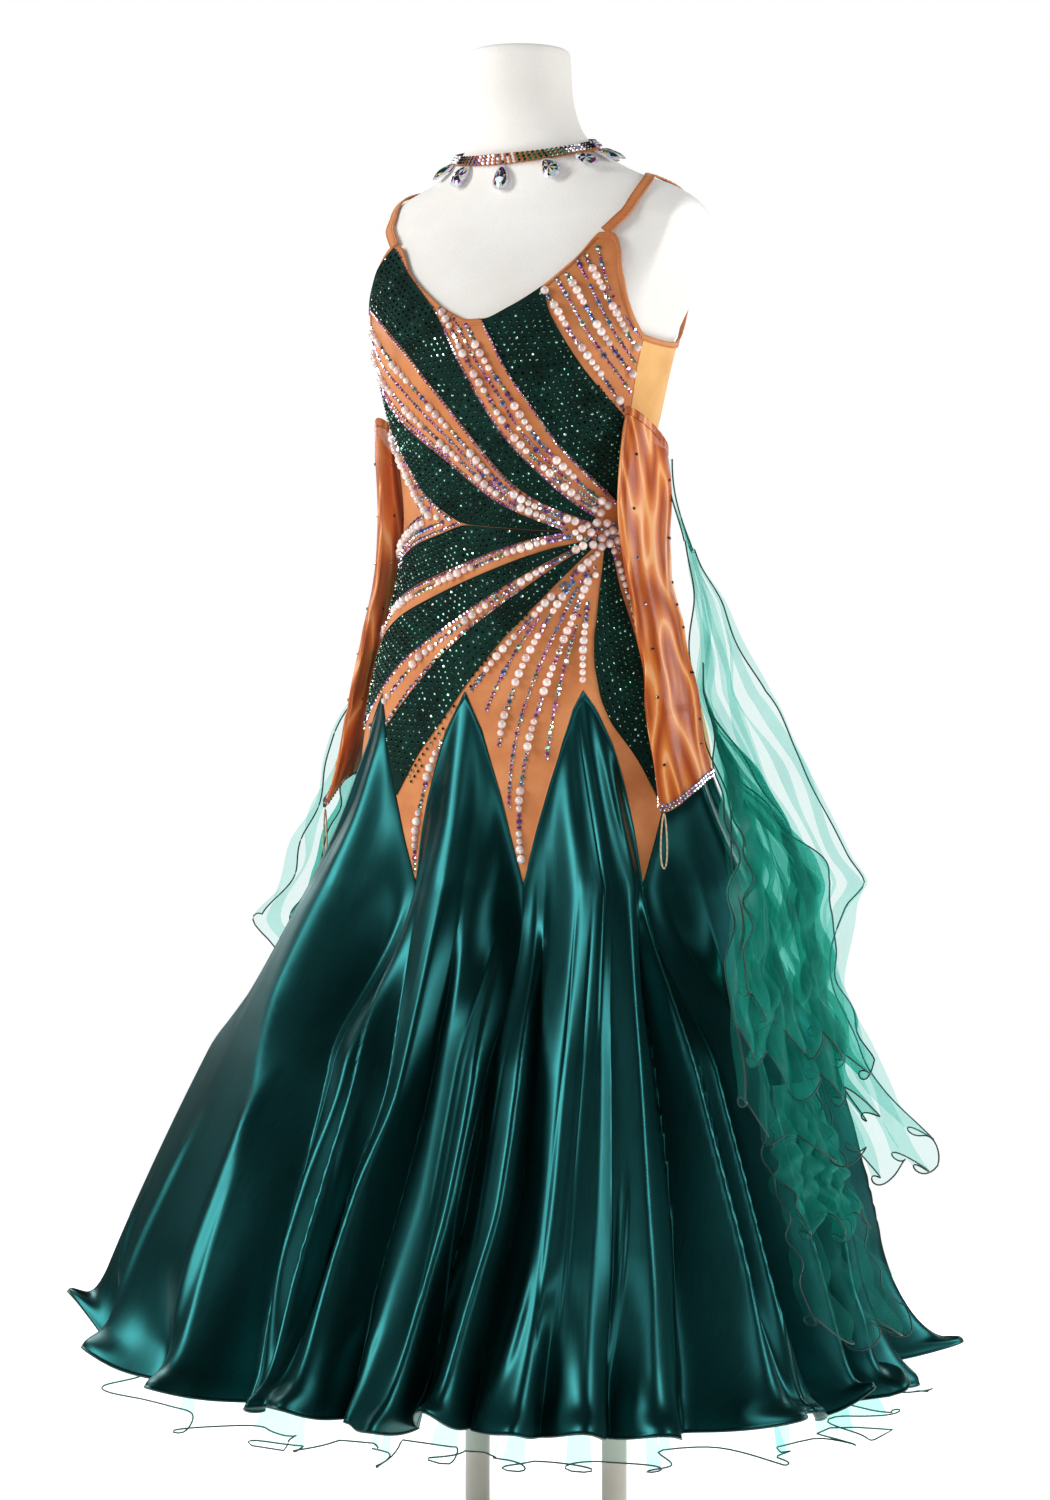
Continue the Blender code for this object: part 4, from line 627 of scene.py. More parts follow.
def organza_woven(name="organza_woven", clear_code="#ECFBF9", least=0.03, most=0.10):
    """Crisp sheer organza: threads of clear tinted yarn let light through and colour it, deeper where layers lie."""
    made, tree, along, where = blank(name, {
        "Base Color": "#2FBEAE", "Roughness": 0.38, "Specular IOR Level": 0.4,
        "Sheen Weight": 0.3, "Sheen Roughness": 0.3, "Sheen Tint": "#9FEBDD"})
    bunch = noise(tree, stretched(tree, along, 420.0, 60.0), 1.0, 2.0)
    both = add(tree, "ShaderNodeMix", {"Factor": 0.5, 2: bunch, 3: noise(tree, where, 26.0, 2.0)})
    thread = add(tree, "ShaderNodeMapRange", {"Value": both.outputs[0], "From Min": 0.3, "From Max": 0.7,
                                              "To Min": least, "To Max": most})
    clear = add(tree, "ShaderNodeBsdfTransparent", {"Color": colour(clear_code)})
    weave = add(tree, "ShaderNodeMixShader", {0: thread.outputs[0], 1: clear.outputs[0],
                                              2: tree.nodes["Principled BSDF"].outputs[0]})
    tree.links.new(weave.outputs[0], tree.nodes["Material Output"].inputs["Surface"])
    return made


def power_mesh_knitted():
    """Sheer tan power mesh, two layers deep in a tube: the layers' holes beat against each other in watered rings."""
    made, tree, along, _ = blank("power_mesh_knitted", {
        "Base Color": "#B8571C", "Roughness": 0.34, "Alpha": 0.90, "Specular IOR Level": 0.5,
        "Coat Weight": 0.12, "Coat Roughness": 0.25, "Sheen Weight": 0.1, "Sheen Tint": "#FFB070"})
    flow = noise(tree, stretched(tree, along, 30.0, 6.0), 1.0, 0.5)
    beat = add(tree, "ShaderNodeMath", {0: flow, 1: 34.0}, operation="MULTIPLY")
    rings = add(tree, "ShaderNodeMath", {0: beat.outputs[0]}, operation="SINE")
    watered = add(tree, "ShaderNodeMapRange", {"Value": rings.outputs[0], "From Min": -1.0}).outputs[0]
    holes = add(tree, "ShaderNodeTexVoronoi", {"Vector": along, "Scale": 900.0}).outputs["Distance"]
    return wire(made, {"Base Color": ramp(tree, watered, [(0.0, "#A8460E"), (0.55, "#CA661C"), (0.90, "#DF8238"),
                                                          (1.0, "#F0AC70")]),
                       "Normal": relief(tree, holes, 0.3, 0.0005)})


def form_jersey_knitted():
    """Matt off-white jersey stretched over the form: a faint dimpled tooth and nothing else."""
    made, tree, _, where = blank("form_cover_jersey_knitted", {
        "Base Color": "#EFEDE8", "Roughness": 0.85, "Sheen Weight": 0.15, "Specular IOR Level": 0.25})
    tooth = add(tree, "ShaderNodeTexVoronoi", {"Vector": where, "Scale": 420.0}).outputs["Distance"]
    return wire(made, {"Base Color": ramp(tree, noise(tree, where, 9.0, 3.0), [(0.3, "#E9E6E0"), (0.7, "#F4F2EE")]),
                       "Normal": relief(tree, tooth, 0.35, 0.0006)})


def steel_powder_coated():
    """Powder-coated steel stand: warm off-white with the slight orange peel of baked powder."""
    made, tree, _, where = blank("steel_powder_coated", {
        "Base Color": "#DDD8CC", "Roughness": 0.38, "Coat Weight": 0.15})
    return wire(made, {"Base Color": ramp(tree, noise(tree, where, 18.0, 4.0), [(0.3, "#D3CDBF"), (0.7, "#E3DFD5")]),
                       "Normal": relief(tree, noise(tree, where, 500.0, 1.0), 0.12, 0.0006)})


def tinted(made, tree):
    """Takes the base colour from the stones' own tints."""
    return wire(made, {"Base Color": add(tree, "ShaderNodeAttribute", attribute_name="tint").outputs["Color"]})


def glass_foil_backed(name="lead_glass_foil_backed", foil=0.85):
    """Cut lead glass on foil with a rainbow coating: each facet throws back a different clear colour."""
    return tinted(*blank(name, {"Base Color": "#E6E9F2", "Metallic": foil, "Roughness": 0.09, "Coat Weight": 0.8,
                                "Coat Roughness": 0.02})[:2])


def pearl_coated():
    """Flat-backed imitation pearl: a rosy ivory lacquer with a deep soft lustre."""
    return tinted(*blank("acrylic_pearl_lacquered", {
        "Base Color": "#F3DCD2", "Roughness": 0.24, "Metallic": 0.12, "Coat Weight": 0.6,
        "Coat Roughness": 0.12, "Sheen Weight": 0.3, "Sheen Tint": "#FFD6E2"})[:2])


def thread_covered(name, code, roughness=0.5):
    """Spun thread over a core: a thin matt line with the twist of its plies."""
    made, tree, _, where = blank(name, {"Base Color": code, "Roughness": roughness, "Sheen Weight": 0.2})
    plies = add(tree, "ShaderNodeTexWave", {"Vector": where, "Scale": 100.0}, bands_direction="DIAGONAL")
    shadow = tuple(0.7 * part for part in colour(code)[:3]) + (1.0,)
    return wire(made, {"Base Color": ramp(tree, plies.outputs["Fac"], [(0.2, shadow), (0.8, code)])})


def floor_paper():
    """Seamless studio paper, bright and even."""
    return blank("seamless_paper", {"Base Color": "#F7F6F4", "Roughness": 0.9, "Emission Color": "#FFFFFF",
                                    "Emission Strength": 0.9})[0]


# ---------------------------------------------------------------- meshes
def mesh_piece(name, points, faces, finish, stands_for=(), flat=(), uv=None, tint=None, smooth=True):
    """A piece of the garment: rides on the stand's body, takes its finish from a slot and stands for CAD nodes."""
    points = np.asarray(points, np.float32).reshape(-1, 3)
    corners = np.concatenate([np.asarray(part, np.int32).ravel() for part in faces])
    sizes = np.concatenate([np.full(len(part), np.asarray(part).shape[1], np.int32) for part in faces])
    mesh = bpy.data.meshes.new(name)
    mesh.vertices.add(len(points))
    mesh.vertices.foreach_set("co", points.ravel())
    mesh.loops.add(len(corners))
    mesh.loops.foreach_set("vertex_index", corners)
    mesh.polygons.add(len(sizes))
    mesh.polygons.foreach_set("loop_start", np.concatenate([[0], np.cumsum(sizes)[:-1]]).astype(np.int32))
    mesh.polygons.foreach_set("loop_total", sizes)
    shading = np.full(len(sizes), smooth)
    for first, last in flat:
        shading[first:last] = False
    mesh.polygons.foreach_set("use_smooth", shading)
    if uv is not None:
        layer = mesh.uv_layers.new(name="cloth")
        layer.data.foreach_set("uv", np.asarray(uv, np.float32).reshape(-1, 2)[corners].ravel())
    if tint is not None:
        shades = mesh.color_attributes.new("tint", "FLOAT_COLOR", "POINT")
        shades.data.foreach_set("color", np.asarray(tint, np.float32).ravel())
    mesh.update(calc_edges=True)
    mesh.validate()
    mesh.materials.append(finish)
    made = bpy.data.objects.new(name, mesh)
    bpy.context.scene.collection.objects.link(made)
    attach(made, "root")
    if stands_for:
        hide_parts(*stands_for)
    return made


def quads(rows, columns, ring=False, turned=False):
    """Faces of a grid of points, row by row; a ring joins the last column to the first."""
    i, j = np.meshgrid(np.arange(rows - 1), np.arange(columns if ring else columns - 1), indexing="ij")
    n = (j + 1) % columns
    faces = np.stack([i * columns + j, i * columns + n, (i + 1) * columns + n, (i + 1) * columns + j], -1)
    faces = faces.reshape(-1, 4)
    return faces[:, ::-1] if turned else faces


def cloth_uv(grid):
    """Lengths along the rows and down the columns of a grid, in metres."""
    across = np.zeros(grid.shape[:2])
    across[:, 1:] = np.cumsum(np.linalg.norm(np.diff(grid, axis=1), axis=-1), axis=1)
    across -= across[:, across.shape[1] // 2][:, None]
    down = np.zeros(grid.shape[:2])
    down[1:] = np.cumsum(np.linalg.norm(np.diff(grid, axis=0), axis=-1), axis=0)
    return np.stack([across, down], -1)


def grid_normals(grid):
    """Unit normals of a grid of points whose rows run downhill and whose columns run to the wearer's left."""
    return unit(np.cross(np.gradient(grid, axis=1), -np.gradient(grid, axis=0)))


def thin_wall(name, outer, normal, thick, finish, stands_for=(), ring=False):
    """A closed cloth wall: `outer` is its face side, and `thick` the cloth under it."""
    rows, columns = outer.shape[:2]
    inner = outer - normal * thick
    count = rows * columns
    first, last = np.arange(columns - (0 if ring else 1)), (rows - 1) * columns
    follow = (first + 1) % columns
    rims = [np.stack([first, first + count, follow + count, follow], -1),
            np.stack([last + first, last + follow, last + follow + count, last + first + count], -1)]
    if not ring:
        down = np.arange(rows - 1) * columns
        rims += [np.stack([down, down + columns, down + columns + count, down + count], -1),
                 np.stack([down + columns - 1, down + columns - 1 + count, down + 2 * columns - 1 + count,
                           down + 2 * columns - 1], -1)]
    faces = [quads(rows, columns, ring, turned=True), quads(rows, columns, ring) + count] + rims
    body_faces = len(faces[0]) + len(faces[1])
    uv = cloth_uv(outer)
    return mesh_piece(name, np.concatenate([outer.reshape(-1, 3), inner.reshape(-1, 3)]), faces, finish,
                      stands_for, flat=[(body_faces, body_faces + sum(map(len, rims)))],
                      uv=np.concatenate([uv.reshape(-1, 2), uv.reshape(-1, 2)]))


def single_sheet(name, grid, finish, stands_for=(), ring=False):
    """One layer of sheer cloth."""
    rows, columns = grid.shape[:2]
    return mesh_piece(name, grid.reshape(-1, 3), [quads(rows, columns, ring, turned=True)], finish, stands_for,
                      uv=cloth_uv(grid).reshape(-1, 2))


def tube(name, lines, radius, finish, sides=6, closed=False, stands_for=()):
    """Cords along lines of points, in one piece."""
    points, faces, base = [], [], 0
    for line in lines:
        line = np.asarray(line, float)
        if closed:
            ahead = unit(np.roll(line, -1, 0) - np.roll(line, 1, 0))
        else:
            ahead = unit(np.gradient(line, axis=0))
        side = unit(np.cross(ahead, np.where(np.abs(ahead[:, 2:3]) > 0.9, [[1.0, 0, 0]], [[0, 0, 1.0]])))
        up = np.cross(side, ahead)
        around = np.arange(sides) * 2 * math.pi / sides
        ring = (line[:, None] + radius * (np.cos(around)[None, :, None] * side[:, None]
                                          + np.sin(around)[None, :, None] * up[:, None]))
        points.append(ring.reshape(-1, 3))
        wrap = quads(len(line), sides, ring=True)
        faces.append(wrap + base)
        if closed:
            a = (len(line) - 1) * sides
            k = np.arange(sides)
            faces.append(np.stack([a + k, a + (k + 1) % sides, (k + 1) % sides, k], -1) + base)
        base += len(line) * sides
    return mesh_piece(name, np.concatenate(points), faces, finish, stands_for)


# ---------------------------------------------------------------- the form and its stand
FORM_COLUMNS, LATHE_COLUMNS = 144, 48


def make_form(jersey):
    heights = np.concatenate([np.linspace(FORM_BOTTOM, 1.18, 40), np.linspace(1.185, 1.44, 60),
                              np.linspace(1.446, NECK_TOP, 10)])
    turns = np.arange(FORM_COLUMNS) * 360 / FORM_COLUMNS
    inset = FORM_INSET * (1 - ease((heights - 1.325) / 0.025)) + HIP_EASE * ease((0.95 - heights) / 0.06)
    rings = body_out(turns[None], heights[:, None], -inset[:, None])
    rings[..., 2] = heights[:, None]
    bottom = [rings[0] * [s, s, 1.0] - [0, 0, d]
              for s, d in ((0.0, 0.012), (0.5, 0.012), (0.93, 0.012), (0.985, 0.006))]
    axis = np.array([0.0, -0.040, 0.0])
    top = [(rings[-1] - axis) * [s, s, 1.0] + axis + [0, 0, d]
           for s, d in ((0.985, 0.0015), (0.93, 0.003), (0.5, 0.003), (0.0, 0.003))]
    grid = np.stack(bottom + list(rings) + top)
    mesh_piece("form_cover", grid.reshape(-1, 3), [quads(len(grid), FORM_COLUMNS, ring=True)], jersey,
               ("form_torso",), uv=cloth_uv(grid).reshape(-1, 2))


def lathe(name, profiles, finish, stands_for):
    """Turned parts: each profile is (x, y) of its axis and (radius, height) points up it."""
    points, faces, base = [], [], 0
    around = np.radians(np.arange(LATHE_COLUMNS) * 360 / LATHE_COLUMNS)
    for (x, y), profile in profiles:
        for radius, height in profile:
            points.append(np.stack([x + radius * np.cos(around), y + radius * np.sin(around),
                                    np.full(LATHE_COLUMNS, height)], -1))
        faces.append(quads(len(profile), LATHE_COLUMNS, ring=True) + base)
        base += LATHE_COLUMNS * len(profile)
    made = mesh_piece(name, np.concatenate(points), faces, finish, stands_for)
    made.data.set_sharp_from_angle(angle=math.radians(35))
    return made


def make_stand(steel):
    pole = [(0.0, 0.0123), (POLE_RADIUS, 0.0123), (POLE_RADIUS, 0.60), (POLE_RADIUS, FORM_BOTTOM - 0.0123),
            (0.0, FORM_BOTTOM - 0.0123)]
    collar = [(POLE_RADIUS, 0.0122), (0.0195, 0.0122), (0.0195, 0.0170), (0.0165, 0.0190), (POLE_RADIUS, 0.0195)]
    spots = [(-POLE_SPACING / 2, POLE_BACK), (POLE_SPACING / 2, POLE_BACK)]
    lathe("stand_poles", [(spot, pole) for spot in spots] + [(spot, collar) for spot in spots], steel,
          ("stand_pole_left", "stand_pole_right"))
    foot = [(0.0, 0.0), (BASE_RADIUS - 0.002, 0.0), (BASE_RADIUS, 0.002), (BASE_RADIUS, BASE_THICK - 0.004),
            (BASE_RADIUS - 0.0015, BASE_THICK - 0.0012), (BASE_RADIUS - 0.005, BASE_THICK), (0.0, BASE_THICK)]
    lathe("stand_foot", [((0.0, 0.0), foot)], steel, ("stand_base",))


# ---------------------------------------------------------------- bodice
def top_edge(turns):
    return smooth([edge.turn for edge in TOP_EDGE], [edge.height for edge in TOP_EDGE], turns)


def yoke_height(turns):
    """Height of the seam between bodice and godets at a turn of the body."""
    phases = np.linspace(-0.5, FOLDS - 0.5, FOLDS * 40 + 1)
    marks = yoke_turn(phases)
    marks = np.concatenate([marks, marks[1:] + 360.0])
    return np.interp(turns, marks, np.concatenate([yoke_edge(phases), yoke_edge(phases)[1:]]))


PANEL_COLUMNS, PANEL_ROWS = 1.6, 110      # columns to a degree, and rows from the top edge to the yoke
STITCH_STEP, STITCH_LONG = 1.05, 0.62     # of the stitches in the binding, in degrees
# Section of the neck's binding: how far below the edge, and how far off the body.
BINDING = ((-0.0004, 0.0006), (-0.0004, 0.0026), (0.0022, 0.0030), (0.0052, 0.0028), (0.0056, 0.0019))


def make_bodice(tan, painted_lit_tan, thread):
    """The stretch panels, puckered a little at their seams, and the bound and stitched top edge."""
    for panel in PANELS:
        turns = np.linspace(panel.first_turn + SEAM_TURN, panel.last_turn - SEAM_TURN,
                            int((panel.last_turn - panel.first_turn) * PANEL_COLUMNS))
        low, high = yoke_height(turns) + YOKE_TRIM, top_edge(turns)
        share = np.linspace(0, 1, PANEL_ROWS)[:, None]
        heights = high + (low - high) * share
        grid_turns = np.broadcast_to(turns, heights.shape)
        seam = np.exp(-np.minimum(turns - panel.first_turn, panel.last_turn - turns) / 1.6)
        ease_near = 0.0003 * np.sin(heights * 640.0) * seam
        outer = body_out(grid_turns, heights, SEAM_GAP + CLOTH - 0.0002 + ease_near)
        normal = outward(grid_turns, heights)
        # The side panels get the paler copy of the stretch cloth: a painted highlight for the side light on them.
        made = thin_wall(panel.name + "_cloth", outer, normal, BODICE_WALL,
                         painted_lit_tan if "side" in panel.name else tan, (panel.name,))
        girth = np.linalg.norm(np.diff(body_out(turns, 0.93, 0.003), axis=0), axis=-1)
    turns = np.linspace(TOP_EDGE[0].turn, TOP_EDGE[-1].turn, 900)
    high = top_edge(turns)
    edge = []
    for drop, rise in BINDING:
        edge.append(body_out(turns, high - drop, rise))
    grid = np.stack(edge)
    mesh_piece("neck_binding", grid.reshape(-1, 3), [quads(len(edge), len(turns), turned=True)], tan,
               uv=cloth_uv(grid).reshape(-1, 2))
    stitches = []
    for start in np.arange(-122.0, 237.0, STITCH_STEP):
        t = np.linspace(start, start + STITCH_LONG, 4)
        stitches.append(body_out(t, top_edge(t) - 0.0043, 0.0030))
    tube("neck_stitches", stitches, 0.00025, thread, sides=4)


BAND_COLUMNS, BAND_ROWS = 90, 14


def band_grid(band, columns, rows):
    """(turns, heights) of a grid of points from a band's upper edge to its lower edge."""
    upper, lower = edge_points(band.upper, columns), edge_points(band.lower, columns)
    share = np.linspace(0.0, 1.0, rows)[:, None]
    return upper[0] + (lower[0] - upper[0]) * share, upper[1] + (lower[1] - upper[1]) * share


def on_front(turns, heights, margin=0.0):
    """True where a place lies on the front panel, this far inside its edges."""
    side = margin / UNROLL
    return ((turns > PANELS[0].first_turn + side) & (turns < PANELS[0].last_turn - side)
            & (heights < top_edge(turns) - margin) & (heights > yoke_height(turns) + margin))


def make_bands(velvet):
    """The velvet bands, cut to the panel's edges."""
    for band in BANDS:
        turns, heights = band_grid(band, BAND_COLUMNS, BAND_ROWS)
        turns = np.clip(turns, PANELS[0].first_turn + 0.6, PANELS[0].last_turn - 0.4)
        heights = np.clip(heights, yoke_height(turns) + 0.0010, top_edge(turns) - 0.0010)
        rise = SEAM_GAP + CLOTH + 0.0010 + 0.0009 * ease((heights - top_edge(turns) + 0.011) / 0.004)
        outer = body_out(turns, heights, rise)
        normal = outward(turns, heights)
        made = thin_wall(band.name + "_cloth", outer, normal, VELVET_WALL, velvet, (band.name,))


def make_straps(tan, thread):
    """The straps, slightly domed, with a row of stitches along each edge."""
    stitches = []
    for name, path in (("strap_left", STRAP_LEFT), ("strap_right", STRAP_RIGHT)):
        steps, share = np.arange(len(path)), np.linspace(0, len(path) - 1, 120)
        turns, heights = (smooth_path(steps, values, share, 60) for values in zip(*path))
        middle = body_out(turns, heights, 0.0030)
        out = outward(turns, heights)
        side = unit(np.cross(unit(np.gradient(middle, axis=0)), out))
        cross = np.linspace(-0.5, 0.5, 7)
        grid = (middle[:, None] + side[:, None] * cross[None, :, None] * STRAP_WIDTH
                + out[:, None] * (0.0004 * np.cos(cross * math.pi))[None, :, None])
        normal = np.broadcast_to(out[:, None], grid.shape)
        thin_wall(name + "_cloth", grid, normal, STRAP_WALL, tan, (name,))
        for edge in (-0.32, 0.32):
            line = middle + side * edge * STRAP_WIDTH + out * 0.00035
            stitches += [line[k:k + 2] for k in range(1, 118, 2)]
    tube("strap_stitches", stitches, 0.00022, thread, sides=4)


# ---------------------------------------------------------------- stones
# Stone shapes as rings (radius, height) over a flat back, for a width of 1.
STONE_RINGS = {"cut": [(0.46, 0.0), (0.5, 0.12), (0.27, 0.36)],
               "bead": [(0.42, 0.0), (0.5, 0.2), (0.46, 0.42), (0.33, 0.6), (0.14, 0.7)]}
STONE_SIDES = {"cut": 8, "bead": 12}
STONE_GAP = 0.0004           # between stones of one string
TRIM_STONE, WRIST_STEP = 0.0036, 0.0040      # the choker's and the wrists' stones, and from one to the next at a wrist
GREEN_ROW, GREEN_STEP = 0.0054, 0.0062      # between rows of green stones, and between the stones of a row
Stone = namedtuple("Stone", "shape width")
STONES = {"P": Stone("bead", 0.0086), "p": Stone("bead", 0.0066), "B": Stone("cut", 0.0062), "b": Stone("cut", 0.0048),
          "m": Stone("cut", 0.0034), "e": Stone("cut", 0.0031)}
AB_TINTS = ["#F4E9F6", "#E6B7E0", "#B98AD6", "#9EC4F0", "#BFE8D8", "#F1F0D2", "#FFFFFF", "#D9A0C8", "#8FA8E8",
            "#E9F5FF"]
PINK_TINTS = ["#E8B4DE", "#C98AD2", "#F2D9EE", "#B77BC9", "#FFFFFF", "#D6C4F0"]
PEARL_TINTS = ["#F5E1D8", "#F3DCD2", "#F8E8E0", "#EFD3CB", "#F9EDE6"]
GREEN_TINTS = ["#0C3B2B", "#1C5A42", "#0A2E20", "#3E8A6C", "#123F30", "#9FD4BF", "#0E4A36", "#062A20"]


def settle(stones):
    """Leaves out each stone that would sit on one before it. Rows are (turn, height, width, kind, tints)."""
    kept, cells = [], {}
    for stone in stones:
        x, y = stone[0] * UNROLL, stone[1]
        key = (int(x // 0.01), int(y // 0.01))
        near = [other for i in (-1, 0, 1) for j in (-1, 0, 1) for other in cells.get((key[0] + i, key[1] + j), [])]
        if all((x - ox) ** 2 + (y - oy) ** 2 > (0.47 * (stone[2] + width)) ** 2 for ox, oy, width in near):
            kept.append(stone)
            cells.setdefault(key, []).append((x, y, stone[2]))
    return kept


def set_stones(name, stones, finish, rise):
    """One piece of all the stones of a shape, set this far off the body's surface."""
    rng = np.random.default_rng(len(name) + len(stones))
    turns, heights, widths = (np.array([stone[k] for stone in stones]) for k in range(3))
    out, down, side = frame_at(turns, heights)
    places = body_out(turns, heights, rise)
    spin = rng.uniform(0, 2 * math.pi, len(stones))
    lean = unit(out + 0.05 * rng.normal(size=out.shape))
    side = unit(np.cross(lean, down))
    down = np.cross(side, lean) * -1.0
    right = np.cos(spin)[:, None] * side + np.sin(spin)[:, None] * down
    tints = np.array([colour(stone[4][rng.integers(len(stone[4]))]) for stone in stones])
    tints[:, :3] *= rng.uniform(0.75, 1.1, (len(stones), 1))
    stone_mesh(name, stones[0][3], places, right, lean, widths, tints, finish)


def stone_mesh(name, shape, places, right, out, widths, tints, finish):
    """One piece of stones of a shape: their places, the way that each turns and faces, its width and its colour."""
    rings, sides = STONE_RINGS[shape], STONE_SIDES[shape]
    around = np.arange(sides) * 2 * math.pi / sides
    unit_points = [np.stack([r * np.cos(around), r * np.sin(around), np.full(sides, h)], -1) for r, h in rings]
    if shape == "bead":
        unit_points.append(np.array([[0.0, 0.0, 0.73]]))
    unit_points = np.concatenate(unit_points)
    axes = np.stack([right, np.cross(out, right), out], axis=1)
    points = places[:, None] + np.einsum("kj,njc->nkc", unit_points, axes) * widths[:, None, None]
    count = len(unit_points)
    walls = quads(len(rings), sides, ring=True)
    last = (len(rings) - 1) * sides
    if shape == "bead":
        cap = np.stack([last + np.arange(sides), last + (np.arange(sides) + 1) % sides, np.full(sides, count - 1)], -1)
    else:
        cap = (last + np.arange(sides))[None]
    shift = (np.arange(len(places)) * count)[:, None, None]
    faces = [(walls[None] + shift).reshape(-1, 4), (cap[None] + shift).reshape(-1, cap.shape[1])]
    return mesh_piece(name, points, faces, finish, tint=np.repeat(tints, count, axis=0),
                      smooth=shape == "bead")


def cut_stones(name, stones, finish):
    """One piece of cut stones from rows of (place, way it turns, way it faces, width, colour)."""
    stone_mesh(name, "cut", *(np.array(part) for part in zip(*stones)), finish)


def run_of(kinds, line):
    """Stones laid one after another along a line of (turn, height), in the order that `kinds` repeats."""
    x, y = line[0] * UNROLL, line[1]
    far = np.concatenate([[0], np.cumsum(np.hypot(np.diff(x), np.diff(y)))])
    stones, at, k = [], STONES[kinds[0]].width / 2, 0
    while at < far[-1]:
        stone = STONES[kinds[k % len(kinds)]]
        tints = PEARL_TINTS if stone.shape == "bead" else (PINK_TINTS if stone.width < 0.004 else AB_TINTS)
        stones.append((float(np.interp(at, far, line[0])), float(np.interp(at, far, line[1])), stone.width,
                       stone.shape, tints))
        after = STONES[kinds[(k + 1) % len(kinds)]]
        at += (stone.width + after.width) / 2 + STONE_GAP
        k += 1
    return stones


# Strings of stones: from one place to another on the unrolled front, bowed sideways, and the order of their stones.
String = namedtuple("String", "turn height to_turn to_height bow kinds")
STRINGS = [String(*row) for row in [
    (24.8, 1.2576, 71.7, 1.141, -0.0015, "PbbPPppBbbbPPpppbbbbb"),
    (27.2, 1.2686, 72.8, 1.1606, -0.003, "bbbmBmmmmbmmmBmmmm"),
    (29.7, 1.2734, 74.1, 1.1738, -0.0036, "bBPPppBbbbPPppbBbb"),
    (31.0, 1.2871, 75.0, 1.1849, -0.0049, "bBmmmmBbmmmmbbmmm"),
    (32.6, 1.292, 74.0, 1.199, -0.0045, "BbbPPppbBbPPppp"), (35.8, 1.3, 73.0, 1.213, -0.0098, "BmmmBmmmmmbmmmm"),
    (59.2, 1.0051, -20.1, 0.6958, -0.0451, "ppPPBbbbBpPPppbBbbppPPppbBbbppPPpbBbb"),
    (55.4, 0.9977, 12.3, 0.8196, -0.0212, "pPPbBbBPPpbbBbppPP"),
    (57.0, 0.9929, 19.7, 0.7051, -0.0303, "bBbPPpbBbppPPbBbbppPPbbBbppPPbBb"),
    (56.5, 0.9856, 41.3, 0.878, -0.0071, "ppPPbBbbppPPpp"), (53.8, 0.9928, 7.7, 0.8508, -0.0169, "bBbmBbmmm"),
    (55.9, 0.9953, 15.7, 0.7575, -0.0267, "bmbbmmbmm"), (56.8, 0.9905, 27.5, 0.8066, -0.013, "bbmBbmmmb"),
    (64.1, 1.0272, 68.7, 0.9203, 0.01, "ppbpbpp"), (67.9, 1.0275, 68.9, 0.913, 0.0169, "bmmbmmpm"),
]]
# Rows between two bands: how far from the upper band to the lower, and their stones.
Gap = namedtuple("Gap", "upper lower rows")
GAPS = [
    Gap("applique_bust_left", "applique_bust_right",
        [(0.36, "PPppbBbbBb"), (0.8, "PPpbBbpPBb"), (0.0, "m"), (0.58, "mbmmBm"), (1.0, "m")]),
    Gap("applique_bust_right", "applique_waist_upper",
        [(0.28, "bBbPPppbB"), (0.72, "PPppBbbb"), (0.0, "m"), (0.5, "mmbm"), (1.0, "m"), (0.9, "m")]),
    Gap("applique_waist_lower", "applique_hip",
        [(0.42, "PPppbBbbBbpp"), (0.0, "m"), (0.12, "m")]),
    Gap("applique_hip", "applique_thigh",
        [(0.5, "BbbPPppbBb"), (0.04, "mmb"), (0.96, "mbm")]),
]


def gap_rows():
    """Stones of the rows between bands, and of the chevrons in the fork at the waist."""
    bands = {band.name: band for band in BANDS}
    runs = []
    for gap in GAPS:
        upper, lower = edge_points(bands[gap.upper].lower, 300), edge_points(bands[gap.lower].upper, 300)
        width = np.hypot((upper[0] - lower[0]) * UNROLL, upper[1] - lower[1])
        edge = np.clip(0.0024 / np.maximum(width, 1e-5), 0, 0.5)
        for share, kinds in gap.rows:
            inner = edge + (1 - 2 * edge) * share
            runs.append(run_of(kinds, upper + (lower - upper) * inner))
    upper = edge_points(bands["applique_waist_upper"].lower, 400)
    lower = edge_points(bands["applique_waist_lower"].upper, 400)
    for k, kinds in enumerate(("mbm", "bBb", "PpP", "bm")):
        off = 0.0035 + 0.0072 * k
        for line, sign in ((upper, -1), (lower, 1)):
            inside = (upper[1] - lower[1] > 2 * off) & (line[0] < -6.0)
            runs.append(run_of(kinds, np.stack([line[0], line[1] + sign * off])[:, inside]) if inside.sum() > 4 else [])
    return [stone for run in runs for stone in run]


CLUSTER = "P" * 40 + "p" * 60 + "B" * 60 + "b" * 120 + "m" * 260


def waist_cluster():
    """Stones of all sizes packed where the bands meet."""
    rng = np.random.default_rng(3)
    stones = []
    for kind in CLUSTER:
        stone, turn, away = STONES[kind], rng.uniform(0, 2 * math.pi), math.sqrt(rng.uniform(0, 1))
        spot = (62.0 + 15.0 * away * math.cos(turn), 1.0235 + 0.0135 * away * math.sin(turn))
        stones.append((*spot, stone.width, stone.shape, PEARL_TINTS if stone.shape == "bead" else AB_TINTS))
    return stones


def string_rows():
    """Stones of the strings that fan out over the bust and down from the waist."""
    stones = []
    for string in STRINGS:
        share = np.linspace(0, 1, 60)
        a = np.array([string.turn * UNROLL, string.height])
        b = np.array([string.to_turn * UNROLL, string.to_height])
        ahead = (b - a) / np.linalg.norm(b - a)
        bowed = np.array([-ahead[1], ahead[0]])[:, None] * 4 * string.bow * share * (1 - share)
        line = a[:, None] + (b - a)[:, None] * share + bowed
        stones += run_of(string.kinds, np.stack([line[0] / UNROLL, line[1]]))
    return stones


